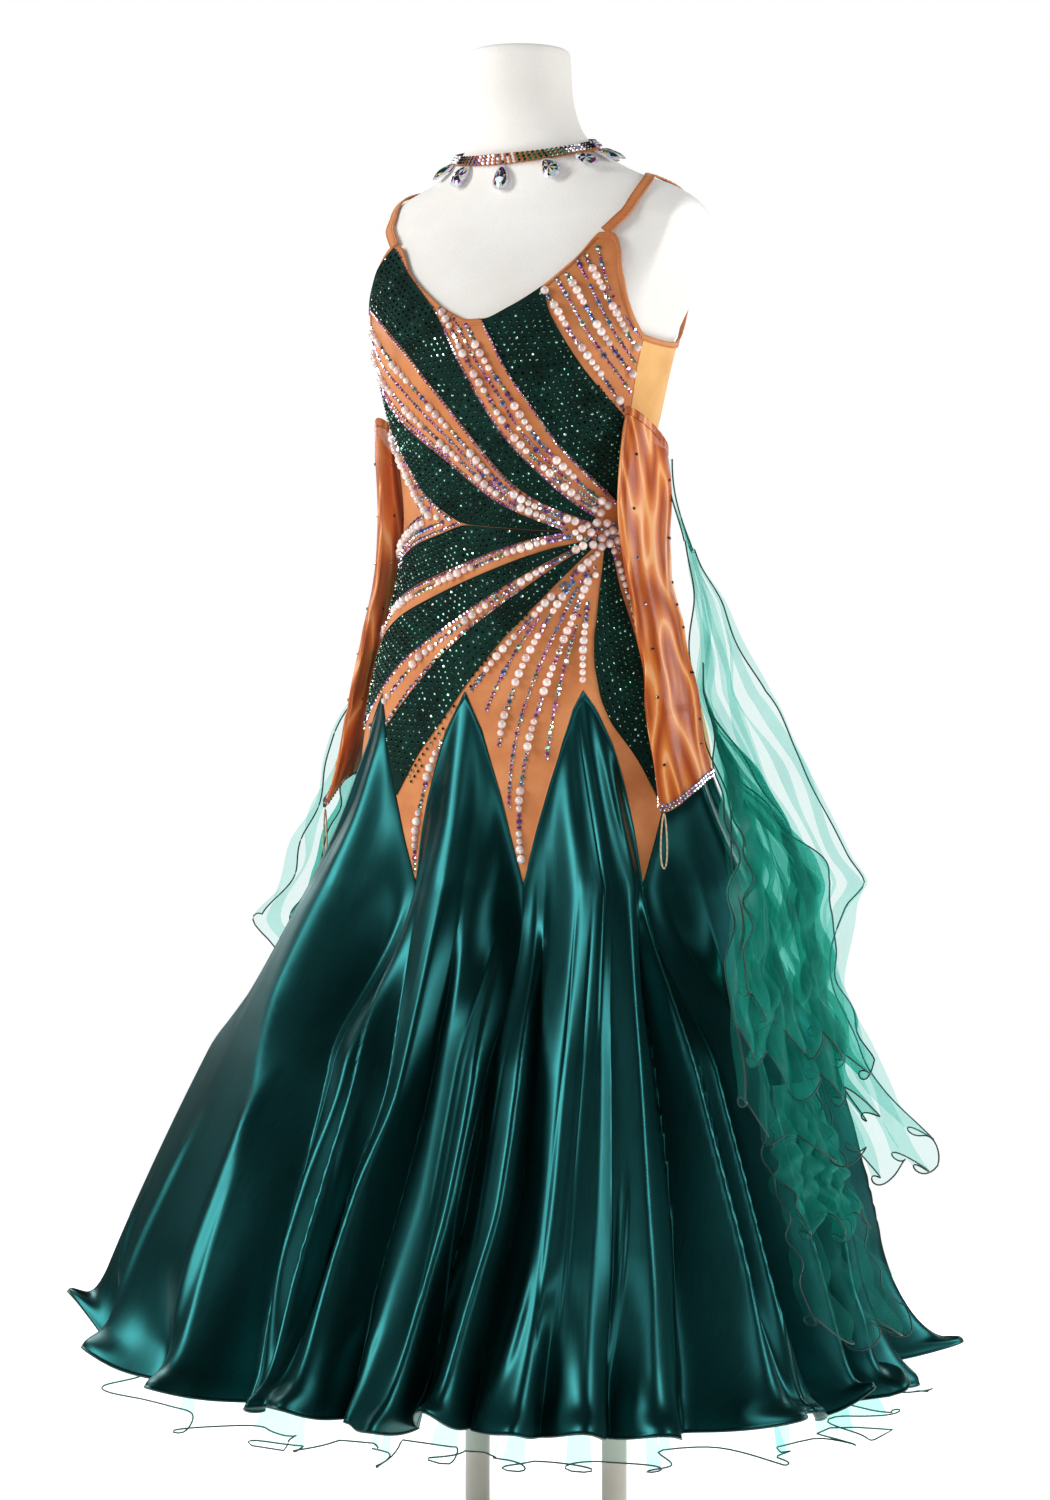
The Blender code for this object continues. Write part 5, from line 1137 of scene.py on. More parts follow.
def band_stones():
    """Small green stones in staggered rows over the velvet."""
    stones = []
    for band in BANDS:
        turns, heights = band_grid(band, 240, 3)
        middle = np.stack([turns[1] * UNROLL, heights[1]])
        half = 0.5 * np.hypot((turns[0] - turns[2]) * UNROLL, heights[0] - heights[2])
        far = np.concatenate([[0], np.cumsum(np.hypot(*np.diff(middle, axis=1)))])
        ahead = np.gradient(middle, axis=1)
        ahead /= np.linalg.norm(ahead, axis=0)
        side = np.stack([-ahead[1], ahead[0]])
        reach = int(half.max() / GREEN_ROW) + 1
        for row in range(-reach, reach + 1):
            for at in np.arange(GREEN_STEP / 2 * (row % 2), far[-1], GREEN_STEP):
                wide = np.interp(at, far, half)
                if abs(row * GREEN_ROW) > wide - 0.0016:
                    continue
                spot = [np.interp(at, far, middle[c]) + row * GREEN_ROW * np.interp(at, far, side[c]) for c in (0, 1)]
                stones.append((spot[0] / UNROLL, spot[1], STONES["e"].width, "cut", GREEN_TINTS))
    return stones


def make_stones(glass, pearl):
    """All stones of the front, the largest first, and the green ones on the velvet."""
    rows = settle(sorted(string_rows() + gap_rows() + waist_cluster(), key=lambda stone: -stone[2]))
    rows = [stone for stone in rows if on_front(np.array(stone[0]), np.array(stone[1]), stone[2] * 0.45)]
    on_cloth = SEAM_GAP + CLOTH - 0.0001
    for name, shape, finish in (("pearls", "bead", pearl), ("crystals", "cut", glass)):
        set_stones(name, [stone for stone in rows if stone[3] == shape], finish, on_cloth)
    greens = [stone for stone in band_stones() if on_front(np.array(stone[0]), np.array(stone[1]), 0.0060)]
    set_stones("emerald_stones", settle(greens), glass, on_cloth + 0.0010)


# ---------------------------------------------------------------- skirt
# Lines that the satin's folds follow down the front: how far out the cloth stands there (1 on a crest, 0 in a
# valley), the same at the hem, and the fold phase of the line at each of these heights.
TRACK_HEIGHTS = (0.21, 0.32, 0.41, 0.50, 0.59, 0.72)
Track = namedtuple("Track", "level at_hem phases")
TRACKS = [Track(*row) for row in [
    (0.3, 0.2, (9.6, 9.6, 9.6, 9.55, 9.5, 9.5)), (0.95, 0.9, (10.15, 10.2, 10.2, 10.2, 10.1, 10.0)),
    (0.93, 0.35, (10.85, 10.82, 10.8, 10.75, 10.6, 10.5)), (0.97, 0.9, (11.5, 11.5, 11.5, 11.4, 11.1, 11.0)),
    (0.96, 0.3, (12.2, 12.16, 12.15, 12.0, 11.6, 11.5)), (1.0, 0.95, (12.95, 12.88, 12.85, 12.6, 12.0, 11.9)),
    (0.0, 0.1, (13.45, 13.32, 13.35, 13.3, 13.0, 12.8)), (0.4, 0.2, (13.65, 13.58, 13.66, 13.85, 13.76, 13.56)),
    (0.1, 0.15, (13.85, 13.84, 13.95, 14.1, 13.96, 13.82)), (0.88, 0.85, (14.22, 14.2, 14.32, 14.41, 14.2, 14.1)),
    (0.28, 0.8, (14.5, 14.45, 14.6, 14.8, 14.66, 14.6)), (0.8, 0.92, (14.82, 14.78, 14.9, 15.2, 15.17, 15.08)),
    (0.0, 0.05, (15.22, 15.24, 15.38, 15.46, 15.42, 15.36)), (0.4, 0.5, (15.48, 15.62, 15.76, 15.72, 15.63, 15.56)),
    (1.0, 1.0, (16.02, 16.28, 16.42, 16.38, 16.18, 16.1)), (0.42, 0.1, (16.38, 16.52, 16.6, 16.57, 16.5, 16.45)),
    (0.98, 0.85, (16.76, 17.02, 17.28, 17.24, 17.08, 17.0)), (0.04, 0.1, (17.22, 17.42, 17.6, 17.5, 17.34, 17.3)),
    (0.32, 0.55, (17.5, 17.7, 17.8, 17.68, 17.5, 17.45)), (0.78, 0.92, (17.94, 18.1, 18.2, 18.16, 18.05, 17.95)),
    (0.88, 0.3, (18.38, 18.42, 18.48, 18.44, 18.36, 18.28)), (1.0, 0.92, (18.86, 18.86, 18.88, 18.85, 18.68, 18.5)),
    (0.74, 0.2, (19.34, 19.24, 19.16, 19.1, 19.04, 19.0)), (1.0, 0.8, (19.84, 19.8, 19.72, 19.64, 19.52, 19.35)),
    (0.0, 0.1, (20.44, 20.44, 20.4, 20.28, 20.15, 20.1)), (0.96, 0.9, (21.04, 20.98, 20.85, 20.68, 20.5, 20.35)),
    (0.55, 0.8, (21.3, 21.2, 21.05, 20.9, 20.78, 20.65)), (0.82, 0.92, (21.56, 21.44, 21.28, 21.12, 21.02, 20.95)),
    (0.06, 0.1, (21.98, 21.84, 21.68, 21.62, 21.52, 21.45)), (0.92, 0.9, (22.4, 22.22, 22.06, 22.02, 22.0, 22.0)),
    (0.15, 0.15, (22.74, 22.66, 22.55, 22.5, 22.5, 22.5)),
]]
# Round the back a crest and a valley follow each fold of the form, wandering a little towards the hem.
for fold in range(23, 38):
    for level, shift in ((0.84 + 0.16 * math.sin(2.3 * fold), 0.0),
                         (0.14 + 0.14 * math.sin(1.7 * fold), 0.5 + 0.08 * math.sin(3.1 * fold))):
        TRACKS.append(Track(level, 0.8 * level + 0.1, tuple(
            fold + shift + 0.045 * math.sin(1.9 * fold + 1.3 * j) * j for j in (4, 3, 2, 1, 0, 0))))
# Single creases between the folds: where each starts and ends (fold phase at a share of the way down), how wide it
# is in folds, and how far it stands out (+) or in (-).
Crease = namedtuple("Crease", "phase top to_phase bottom width depth")
CREASES = [Crease(*row) for row in [
    (12.75, 0.45, 12.62, 0.98, 0.09, 0.005), (11.6, 0.6, 11.3, 0.96, 0.08, 0.005),
    (14.52, 0.5, 14.3, 0.98, 0.04, 0.004), (15.3, 0.8, 14.9, 0.97, 0.1, 0.006),
    (15.62, 0.84, 15.05, 0.99, 0.09, 0.0055), (15.98, 0.08, 16.02, 0.7, 0.03, -0.0013),
    (16.16, 0.3, 16.3, 0.95, 0.035, -0.0014), (16.86, 0.32, 16.93, 0.74, 0.035, -0.0013),
    (17.1, 0.7, 17.42, 0.98, 0.09, 0.006), (17.96, 0.72, 17.62, 0.97, 0.08, 0.006),
    (18.14, 0.2, 18.1, 0.92, 0.035, -0.0016), (18.46, 0.26, 18.56, 0.9, 0.03, -0.0014),
    (18.74, 0.02, 18.78, 0.6, 0.026, -0.001), (19.4, 0.62, 19.25, 1.0, 0.06, 0.004),
    (20.1, 0.74, 20.5, 0.99, 0.08, 0.006), (21.96, 0.74, 22.3, 0.99, 0.08, 0.006),
    (22.7, 0.7, 23.1, 0.99, 0.08, 0.006), (23.4, 0.82, 23.85, 1.0, 0.08, 0.007), (24.2, 0.76, 24.5, 1.0, 0.07, 0.006),
    (10.7, 0.7, 10.95, 0.98, 0.08, 0.006), (9.6, 0.5, 9.4, 0.95, 0.07, -0.004), (8.3, 0.55, 8.5, 0.98, 0.08, 0.005),
    (6.6, 0.62, 6.3, 0.97, 0.09, 0.006), (5.2, 0.3, 5.26, 0.85, 0.05, -0.003), (3.7, 0.55, 3.95, 0.98, 0.08, 0.006),
    (2.3, 0.4, 2.2, 0.95, 0.06, -0.004), (0.6, 0.62, 0.9, 0.99, 0.08, 0.006), (-0.2, 0.25, -0.14, 0.8, 0.05, -0.0025),
    (28.2, 0.5, 28.05, 0.98, 0.07, 0.005), (27.4, 0.64, 27.7, 0.98, 0.08, 0.006),
    (26.3, 0.45, 26.2, 0.96, 0.06, -0.004), (25.4, 0.6, 25.6, 0.99, 0.08, 0.006),
]]


def fold_level(phase, height):
    """How far out the satin stands in its folds: 1 on a full crest, 0 in a full valley."""
    tracks = TRACKS + [TRACKS[0]._replace(phases=tuple(place + FOLDS for place in TRACKS[0].phases))]
    low = ease((0.36 - height) / 0.14)
    places = [smooth(TRACK_HEIGHTS, track.phases, height) for track in tracks]
    levels = [track.level + (track.at_hem - track.level) * low for track in tracks]
    seams = FIRST_FOLD - 0.5
    k = np.clip(np.searchsorted(seams, phase, side="right") - 1, 0, len(seams) - 2)
    lancet = np.sin(math.pi * np.clip((phase - seams[k]) / (seams[k + 1] - seams[k]), 0, 1))
    phase = np.where(phase < places[0], phase + FOLDS, phase)
    stands = np.zeros(np.broadcast(phase, height).shape)
    for k in range(len(TRACKS)):
        part = (phase >= places[k]) & (phase < places[k + 1])
        f = np.clip((phase - places[k]) / np.maximum(places[k + 1] - places[k], 0.02), 0, 1)
        blend = 0.75 * (1 - low) * (f - ease(f)) + ease(f)
        stands = np.where(part, levels[k] + (levels[k + 1] - levels[k]) * blend, stands)
    return stands + (lancet - stands) * 0.8 * ease((height - 0.56) / 0.16)


def drape(phase, share, height):
    """How far the satin stands off the plain folds of its form."""
    deep = column(FOLD_DEPTHS, "fold_depth", height) * fold_value(np.mod(phase + 0.5, FOLDS) - 0.5, "depth_share")
    off = deep * (2.6 * fold_level(phase, height) - 2 * crest_share(phase) - 0.3) * ease(share * 3)
    for crease in CREASES:
        along = np.clip((share - crease.top) / (crease.bottom - crease.top), 0, 1)
        centre = crease.phase + (crease.to_phase - crease.phase) * along ** 1.3
        away = (phase - centre) / crease.width
        if np.abs(away).min() < 3:
            swell = ease((share - crease.top) / 0.12) * ease((min(crease.bottom, 0.95) - share) / 0.08)
            off = off + crease.depth * swell * np.exp(-away ** 2)
    return off


def even_hem(phase):
    """Height of the satin's edge, evened out from fold to fold."""
    return sum(hem_line(np.mod(phase + step + 0.5, FOLDS) - 0.5) for step in np.linspace(-0.5, 0.5, 9)) / 9


def draped(phase, share, height, rise):
    """Points of the satin, this far outside the form that it drapes over."""
    base = skirt(phase, height)
    points = base + outward_from_axis(base) * drape(phase, share, height)[..., None]
    return points + grid_normals(points) * np.asarray(rise)[..., None]


# Where the hem's stiffened edge rolls up and out: the fold phase, half the width in folds, how far out and how far up.
Curl = namedtuple("Curl", "phase half out up")
CURLS = [Curl(*row) for row in [
    (9.2, 0.5, 0.01, 0.01), (10.2, 0.5, 0.012, 0.022), (11.5, 0.5, 0.01, 0.008), (12.95, 0.5, 0.01, 0.002),
    (14.5, 0.7, 0.014, 0.006), (16.0, 0.5, 0.014, -0.004), (16.76, 0.28, 0.018, 0.016), (17.94, 0.4, 0.012, 0.0),
    (18.86, 0.4, 0.012, 0.002), (19.84, 0.4, 0.012, 0.004), (21.3, 0.6, 0.016, 0.012), (22.4, 0.4, 0.012, 0.022),
    (23.2, 0.5, 0.01, 0.034), (25.0, 0.5, 0.014, 0.018), (27.0, 0.5, 0.014, 0.008), (1.0, 0.5, 0.014, 0.01),
    (3.0, 0.5, 0.012, 0.006), (5.0, 0.5, 0.014, 0.012), (7.0, 0.5, 0.012, 0.008),
]]


def roll_hem(grid, phases, share):
    """Turns the last stretch above the hem outwards, rounder on the crests, and up where it curls."""
    out = unit(grid * [1.0, 1.0, 0.0])
    stands = np.broadcast_to(np.clip(fold_level(phases, HEM_HEIGHT), 0, 1), grid.shape[:2])
    turned = ease((share - 0.93) / 0.07) ** 1.5
    grid = grid + out * (0.006 * turned * (1 - 0.5 * stands))[..., None]
    grid[..., 2] += 0.014 * turned * stands ** 2
    for curl in CURLS:
        reach = np.clip(1 - np.abs(phases - curl.phase) / (curl.half * 1.6), 0, 1)
        weight = ease(reach)[None, :] * ease((share - 0.88) / 0.12) ** 1.5
        grid = grid + out * (weight * 1.1 * curl.out)[..., None]
        grid[..., 2] += weight ** 2 * curl.up
    return grid


SATIN_COLUMNS, UNDER_COLUMNS = 30, 22     # to a fold
SEAM_PHASE = 0.002           # from a godet's edge to its seam, in folds
HEM_ROLL = 0.0009            # radius of the overlocked edge


def make_skirt(satin, edging):
    """The satin godets, finer near the hem, and the overlocked roll along their edge."""
    hems = []
    for k, godet in enumerate(GODETS):
        count = len(godet.crests_hem) * SATIN_COLUMNS
        phases = FIRST_FOLD[k] - 0.5 + np.linspace(0, 1, count + 1) * len(godet.crests_hem)
        phases[0] += SEAM_PHASE
        phases[-1] -= SEAM_PHASE
        share = np.concatenate([np.linspace(0, 0.82, 62)[:-1], np.linspace(0.82, 1.0, 34)])[:, None]
        high, low = yoke_edge(phases) - YOKE_TRIM, even_hem(phases)
        heights = high + (low - high) * share
        grid = np.broadcast_to(phases, heights.shape)
        outer = roll_hem(draped(grid, share, heights, SEAM_GAP + CLOTH - 0.0003), phases, share)
        normal = grid_normals(outer)
        made = thin_wall(godet.name + "_satin", outer, normal, SATIN_WALL, satin, (godet.name,))
        hems.append(outer[-1] - normal[-1] * SATIN_WALL / 2)
    tube("hem_roll", hems, HEM_ROLL, edging)


def make_underskirt(organza, cord):
    """The gathered flounce, waved all round, with a cord in its edge."""
    phases = np.arange(FOLDS * UNDER_COLUMNS) / UNDER_COLUMNS - 0.5
    high, low = yoke_edge(phases) - YOKE_TRIM, even_hem(phases)
    free = np.linspace(0, 1, 26)[:, None]
    share = UNDER_TOP + UNDER_LONG * free
    heights = high + (low - high) * share
    grid = np.broadcast_to(phases, heights.shape)
    wave = (2 * math.pi * (26 / FOLDS * phases) + 1.3 * np.sin(2 * math.pi * 3 * phases / FOLDS)
            + 0.8 * np.sin(2 * math.pi * 7 * phases / FOLDS + 1))
    away = 0.0035 + UNDER_AWAY * free - 0.014 * np.sin(wave) * ease((free - 0.5) * 2)
    sheet = draped(grid, share, heights, -away)
    sheet[..., 2] -= UNDER_LONGER * free ** 2 + 0.004 * (1 + np.sin(wave)) * free ** 2
    made = single_sheet("underskirt_organza", sheet, organza, ("underskirt",), ring=True)
    edge = tube("underskirt_cord", [sheet[-1]], EDGE_CORD, cord, closed=True)


# ---------------------------------------------------------------- choker, armlets, floats
def make_choker(tan, glass):
    """The band with three rows of stones in blocks of one colour, and its drops."""
    turns = np.arange(180) * 2.0
    out, down, _ = frame_at(turns, choker_height(turns))
    middle = body_out(turns, choker_height(turns), 0.0028)
    rows = np.linspace(-0.5, 0.5, 6)[:, None, None] * CHOKER_WIDTH
    grid = middle + down * rows
    thin_wall("choker_cloth", grid, np.broadcast_to(out, grid.shape), CHOKER_WALL, tan,
              ("choker_band",), ring=True)
    rng = np.random.default_rng(11)
    green, black = ["#0B4A31", "#06301F", "#1C6B4A"], ["#0B0C0E", "#1B1D21"]
    clear = ["#FFFFFF", "#F7F4FA", "#FFFFFF", "#8E93A8", "#E9D9F2", "#3A3F52"]
    pink = ["#FFFFFF", "#E7A9CE", "#9B4E9A", "#F4E9F6", "#3A4A8E"]
    blocks = [green, clear, black, pink, clear, green]
    stones = []
    for turn in np.arange(-180.0, 180.0, 3.55):
        block = blocks[int((turn + 176) // 17) % len(blocks)]
        height = float(choker_height(turn))
        facing, downhill, along = frame_at(turn, height)
        for row in (-1, 0, 1):
            place = body_out(turn, height, 0.0050) + downhill * row * 0.0034
            stones.append((place, along, facing, TRIM_STONE, colour(block[rng.integers(len(block))])))
    cut_stones("choker_stones", stones, glass)
    make_drops(glass)


# A drop's rings, from its back to its table: how far out each lies, and its share of the full pear.
DROP_LEVELS = [(-0.0018, 0.60), (-0.0004, 0.97), (0.0004, 1.0), (0.0016, 0.80), (0.0029, 0.50)]
DROP_MIDDLE = ["#0F3F3A", "#1B2F66", "#46256E", "#17603F", "#FFFFFF", "#BFE3F2", "#E8D36A", "#8E2F7C", "#0D2A4A"]
DROP_RIM = ["#FFFFFF", "#F3F0FA", "#E6F2F8", "#FFFFFF", "#D9C9EE"]


def make_drops(glass):
    """Pear-shaped drops: a table, two rings of facets and a pointed top."""
    rng = np.random.default_rng(4)
    sides = 14
    around = np.radians(np.arange(sides) * 360 / sides)
    pear = np.stack([np.sin(around) * (1 - 0.30 * np.cos(around)) * 0.62 * DROP_WIDE,
                     -np.cos(around) * 0.58 * DROP_LONG], axis=-1)
    for k, turn in enumerate(DROP_TURNS):
        height = float(choker_height(turn))
        for _ in range(8):
            out, down, side = frame_at(turn, height)
            height += down[2] * (CHOKER_WIDTH / 2 + SEAM_GAP + DROP_LONG / 2 + 0.001) / 8
        _, top_down, _ = frame_at(turn, choker_height(turn))
        top = body_out(turn, choker_height(turn), 0.0028) + top_down * (CHOKER_WIDTH / 2 + 0.0002)
        low = body_out(turn, height, 0.0052)
        down = unit(low - top)
        out = unit(out - down * np.dot(out, down))
        side = np.cross(out, down)
        middle = top + down * DROP_LONG * 0.58
        points, faces = [], []
        for lift, scale in DROP_LEVELS:
            shape = pear * scale
            points.append(middle + out * lift + side * shape[:, :1] + down * shape[:, 1:])
        for j in range(len(DROP_LEVELS) - 1):
            base = j * sides
            for i in range(sides):
                n = (i + 1) % sides
                faces.append((base + i, base + n, base + sides + n))
                faces.append((base + i, base + sides + n, base + sides + i))
        points = np.concatenate(points)
        flat_points = points[np.array(faces)].reshape(-1, 3)
        table = points[-sides:]
        centre = table.mean(axis=0) + out * 0.0002
        fans = np.array([[table[i], table[(i + 1) % sides], centre] for i in range(sides)]).reshape(-1, 3)
        back = points[:sides]
        backs = np.array([[back[(i + 1) % sides], back[i], back.mean(axis=0)] for i in range(sides)]).reshape(-1, 3)
        corners = np.concatenate([flat_points, fans, backs])
        count = len(corners) // 3
        rim_faces = 3 * 2 * sides
        shades = np.array([colour(tints[rng.integers(len(tints))])
                           for tints in [DROP_RIM] * rim_faces + [DROP_MIDDLE] * (count - rim_faces)])
        mesh_piece(f"drop_{k + 1:02d}", corners, [np.arange(len(corners)).reshape(-1, 3)], glass,
                   (f"choker_drop_{k + 1:02d}",), tint=np.repeat(shades, 3, axis=0), smooth=False)


def make_armlets(mesh_cloth, glass, elastic):
    """Sheer tubes hanging from their elastic tops, creased lengthways, with a trimmed point at the wrist."""
    rng = np.random.default_rng(5)
    around = np.linspace(0, 2 * math.pi, ARMLET_COLUMNS + 1)[:-1]
    for side, cuffs in (("left", ARMLET_LEFT), ("right", ARMLET_RIGHT)):
        centres, out, front, breadths, depths = armlet_rows(side, cuffs, ARMLET_ROWS)
        down_share = np.linspace(0, 1, ARMLET_ROWS)[:, None]
        lengthways = (0.5 + 0.5 * np.sin(5 * around + 2.2 * down_share + (0.4 if side == "left" else 2.0))
                      * np.sin(3 * around - 1.5 * down_share))
        fold = 0.0030 * ease(down_share * 5) * (lengthways - 0.7)
        across = (0.0012 * np.sin(26 * down_share + 2 * np.sin(around)) * ease((down_share - 0.15) * 3)
                  * np.abs(np.cos(around)))
        move = np.minimum(fold + across, 0.0004)
        points = (centres[:, None]
                  + np.cos(around)[None, :, None] * front[:, None] * (breadths[:, None, None] + move[..., None])
                  + np.sin(around)[None, :, None] * out[:, None] * (depths[:, None, None] + move[..., None]))
        points[..., 2] += TOP_TILT * np.cos(around) * (1 - ease(down_share * 3))
        drop = ease((down_share - 0.72) / 0.28)
        points[..., 2] -= drop * POINT_DROP * np.clip(0.5 + 0.5 * np.cos(around - 0.45), 0, 1) ** 2
        made = single_sheet(f"armlet_{side}_mesh", points, mesh_cloth, (f"armlet_{side}",), ring=True)
        ring = points[0]
        outward_ring = unit(ring - centres[0])
        pucker = 0.0004 * np.cos(24 * around)[:, None]
        lifts = np.linspace(0.0003, BAND_TALL, 6)
        band = np.stack([ring + [0, 0, lift] + outward_ring * (0.0002 + pucker * (0.3 if k in (0, 5) else 1.0))
                         for k, lift in enumerate(lifts)])
        normal = np.broadcast_to(outward_ring, band.shape)
        thin_wall(f"armlet_band_{side}_elastic", band, normal, ELASTIC_WALL, mesh_cloth,
                  (f"armlet_band_{side}",), ring=True)
        trim_wrist(side, points[-1], out[-1], glass, rng)
        make_studs(side, points, glass)
        tip = points[-1][np.argmin(points[-1][:, 2])]
        step = np.linspace(0, 2 * math.pi, 49)[:-1]
        middle = tip + np.array([0, 0, -LOOP_LONG / 2 - LOOP_CORD - SEAM_GAP]) - out[-1] * 0.0005
        loop = (middle + np.sin(step)[:, None] * front[-1] * LOOP_WIDE / 2 * (0.75 - 0.25 * np.cos(step))[:, None]
                + np.cos(step)[:, None] * np.array([0, 0, LOOP_LONG / 2]))
        tube(f"finger_loop_{side}_cord", [loop], LOOP_CORD * 0.75, elastic, sides=8, closed=True,
             stands_for=(f"finger_loop_{side}",))


def trim_wrist(side, edge, out, glass, rng):
    """Two rows of small crystals round the wrist's edge."""
    closed = np.concatenate([edge, edge[:1]])
    far = np.concatenate([[0], np.cumsum(np.linalg.norm(np.diff(closed, axis=0), axis=-1))])
    centre = edge.mean(axis=0)
    stones = []
    for row in (0, 1):
        for at in np.arange(TRIM_STONE / 2 * row, far[-1], WRIST_STEP):
            spot = np.array([np.interp(at, far, closed[:, c]) for c in range(3)])
            facing = spot - centre
            facing[2] = 0
            facing = unit(facing + out * 0.3 * np.sign(np.dot(facing, out)))
            stones.append((spot + np.array([0, 0, 0.0022 + WRIST_STEP * row]) + facing * 0.0004,
                           unit(np.cross(facing, [0, 0, 1.0])), facing, TRIM_STONE,
                           colour(AB_TINTS[rng.integers(len(AB_TINTS))])))
    cut_stones(f"wrist_stones_{side}", stones, glass)


def make_studs(side, points, glass):
    """Single small stones scattered down the tube."""
    rng = np.random.default_rng(21 if side == "left" else 22)
    smoked = ["#C9A98A", "#8A6A58", "#D9C8E0", "#6B4B3E"]
    stones = []
    for k, row in enumerate(range(8, 86, 6)):
        for place in (12 + 26 * (k % 2), 36 + 20 * (k % 3), 60, 84 - 14 * (k % 2)):
            spot = points[row, place]
            round_it = points[row, place + 1] - points[row, place - 1]
            facing = unit(np.cross(round_it, points[row + 1, place] - points[row - 1, place]))
            facing = facing if np.dot(facing, spot - points[row].mean(axis=0)) > 0 else -facing
            stones.append((spot + facing * 0.0001, unit(round_it), facing, 0.0034, colour(smoked[rng.integers(4)])))
    cut_stones(f"armlet_studs_{side}", stones, glass)


# Layers of organza in a float: the shares of its width that each covers, the height it is gathered on at, how much
# higher than the solid its hem ends, how far out it lies, its folds and how strongly they lap, and where they start.
Layer = namedtuple("Layer", "name first last top lift rise folds lap start")
LAYERS = {
    "float_left": [Layer("float_left_veil", 0.0, 1.0, None, 0.0, 0.002, 9.0, 1.35, 0.2),
                   Layer("float_left_fall", 0.0, 0.66, 0.900, 0.06, 0.009, 7.0, 1.30, 0.6),
                   Layer("float_left_ruffle", 0.0, 0.72, 0.820, 0.10, 0.016, 8.0, 1.35, 0.1)],
    "float_right": [Layer("float_right_veil", 0.0, 1.0, None, 0.0, 0.002, 8.0, 1.3, 0.4),
                    Layer("float_right_fall", 0.0, 0.8, 0.880, 0.06, 0.008, 6.0, 1.3, 0.7)],
    "float_left_tail": [Layer("float_left_tail_veil", 0.0, 1.0, None, 0.0, 0.001, 4.0, 1.3, 0.3),
                        Layer("float_left_tail_fall", 0.1, 0.8, None, 0.10, 0.006, 4.0, 1.2, 0.8)],
}


def layer_points(rows, lows, layer, columns, steps):
    """The lapped folds of one layer, from the float's top down to a scalloped hem."""
    place = np.linspace(0, 1, columns)
    down = np.linspace(0, 1, steps)[:, None]
    turned = (2 * math.pi * (layer.folds * place + layer.start) + 1.2 * np.sin(3.4 * down + 5 * layer.start)
              + 0.5 * np.sin(9 * down))
    loose = ease(down * 2.5)
    lapped = place + loose * layer.lap * np.sin(turned) / (2 * math.pi * layer.folds)
    if layer.top:
        lapped = 0.3 + (lapped - 0.3) * (0.12 + 0.88 * ease(down / 0.40))
    share = np.clip(layer.first + (layer.last - layer.first) * lapped, 0.0, 1.0)
    low = smooth_path([row.share for row in lows], [row.height for row in lows], share[-1]) + layer.lift
    top = layer.top or rows[0].height
    low = np.minimum(low + 0.012 * np.sin(turned[-1] * 0.5) + 0.005 * np.sin(turned[-1] * 1.5 + 1), top - 0.02)
    heights = top + (low - top) * down
    points = float_surface(rows, share, heights)
    crumple = (0.0060 * np.sin(19 * place + 13 * down + 2) * np.sin(7 * place - 17 * down)
               + 0.0030 * np.sin(41 * place - 23 * down)
               + 0.0030 * np.sin(13 * place + 37 * down + 3 * np.sin(9 * place)))
    standing = ((0.0050 + 0.0050 * down) * np.cos(turned) + crumple) * loose
    return points + outward_from_axis(points) * (standing + layer.rise * loose)[..., None], place


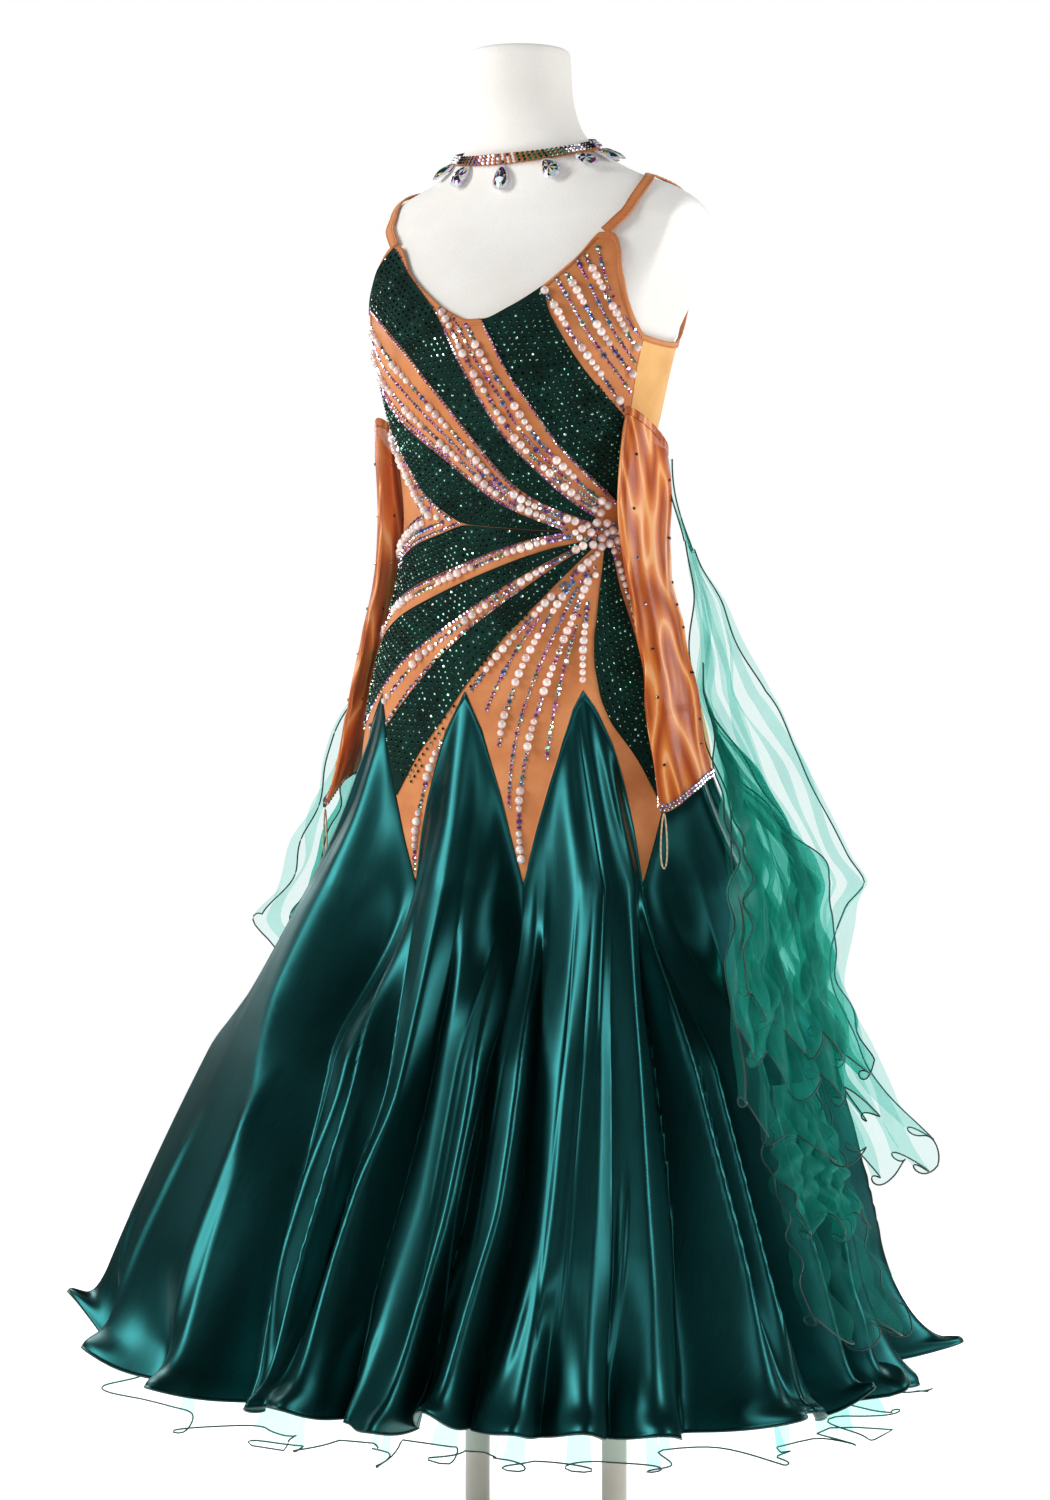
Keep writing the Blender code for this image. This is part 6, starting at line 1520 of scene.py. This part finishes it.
def make_floats(organza, gathered, cord):
    """Organza floats that fall from the armlets' tops down the back of the skirt, their edges rolled over a cord."""
    for name, rows, lows in (("float_left", FLOAT_LEFT, FLOAT_LEFT_LOW), ("float_right", FLOAT_RIGHT, FLOAT_RIGHT_LOW),
                             ("float_left_tail", FLOAT_TAIL, FLOAT_TAIL_LOW)):
        side = name.split("_")[1]
        for layer in LAYERS[name]:
            points, place = layer_points(rows, lows, layer, 200, 130)
            if rows is not FLOAT_TAIL and layer.top is None:
                centres, _, front, breadths, _ = armlet_rows(side, ARMLET_LEFT if side == "left" else ARMLET_RIGHT, 9)
                ring_back = centres[0] - front[0] * (breadths[0] + SEAM_GAP) - [0, 0, TOP_TILT]
                start = ring_back - front[0] * 0.009 * (place[:, None] if side == "left" else 1 - place[:, None])
                first = 16
                blend = ease(np.arange(first)[:, None, None] / first)
                fall = np.linspace(0, 1, first)[:, None]
                points[:first, :, 2] = start[:, 2] + (points[first, :, 2] - start[:, 2]) * fall
                points[:first, :, :2] = start[:, :2] + (points[:first, :, :2] - start[:, :2]) * blend
            made = single_sheet(layer.name, points, organza if "veil" in layer.name else gathered, (name,))
            edges = [points[:, 0], points[-1], points[:, -1]]
            edge = tube(layer.name + "_cord", edges, EDGE_CORD, cord)


def make_floor():
    """A square of paper under the stand."""
    size, steps = 2.0, 25
    xs = np.linspace(-size, size, steps)
    grid = np.stack([*np.meshgrid(xs, xs), np.zeros((steps, steps))], -1)
    mesh = bpy.data.meshes.new("floor")
    mesh.from_pydata(grid.reshape(-1, 3).tolist(), [], quads(steps, steps).tolist())
    mesh.materials.append(floor_paper())
    floor = bpy.data.objects.new("floor", mesh)
    bpy.context.scene.collection.objects.link(floor)


def main():
    make_camera()
    make_light()
    satin, tan, velvet = polyester_satin_woven(), stretch_cloth_knitted(), velvet_stretch_knitted()
    organza, power_mesh, jersey = organza_woven(), power_mesh_knitted(), form_jersey_knitted()
    # Laid double in its gathers the organza is deeper; the side panels take a paler copy of the stretch cloth, painted
    # light that stands for the side softbox lighting them brighter.
    gathered = organza_woven("organza_gathered", "#B4EAE2", 0.13, 0.30)
    painted_lit_tan = stretch_cloth_knitted("polyamide_stretch_painted_lit", "#E5AE68", "#DBA05A", "#EDBA78")
    steel, glass, pearl = steel_powder_coated(), glass_foil_backed(), pearl_coated()
    tan_thread = thread_covered("tan_thread_spun", "#B06A34")
    satin_edge = thread_covered("satin_edge_overlocked", "#083B38", 0.45)
    organza_cord = thread_covered("organza_edge_corded", "#0B3A36", 0.5)
    elastic = thread_covered("elastic_cord_braided", "#C9B08C", 0.6)
    make_form(jersey)
    make_stand(steel)
    make_bodice(tan, painted_lit_tan, tan_thread)
    make_bands(velvet)
    make_straps(tan, tan_thread)
    make_stones(glass, pearl)
    make_skirt(satin, satin_edge)
    make_underskirt(organza, organza_cord)
    make_choker(tan, glass_foil_backed("lead_glass_claw_set", 0.30))     # thinner foil: the glass keeps its own colour
    make_armlets(power_mesh, glass, elastic)
    make_floats(organza, gathered, organza_cord)
    make_floor()


main()
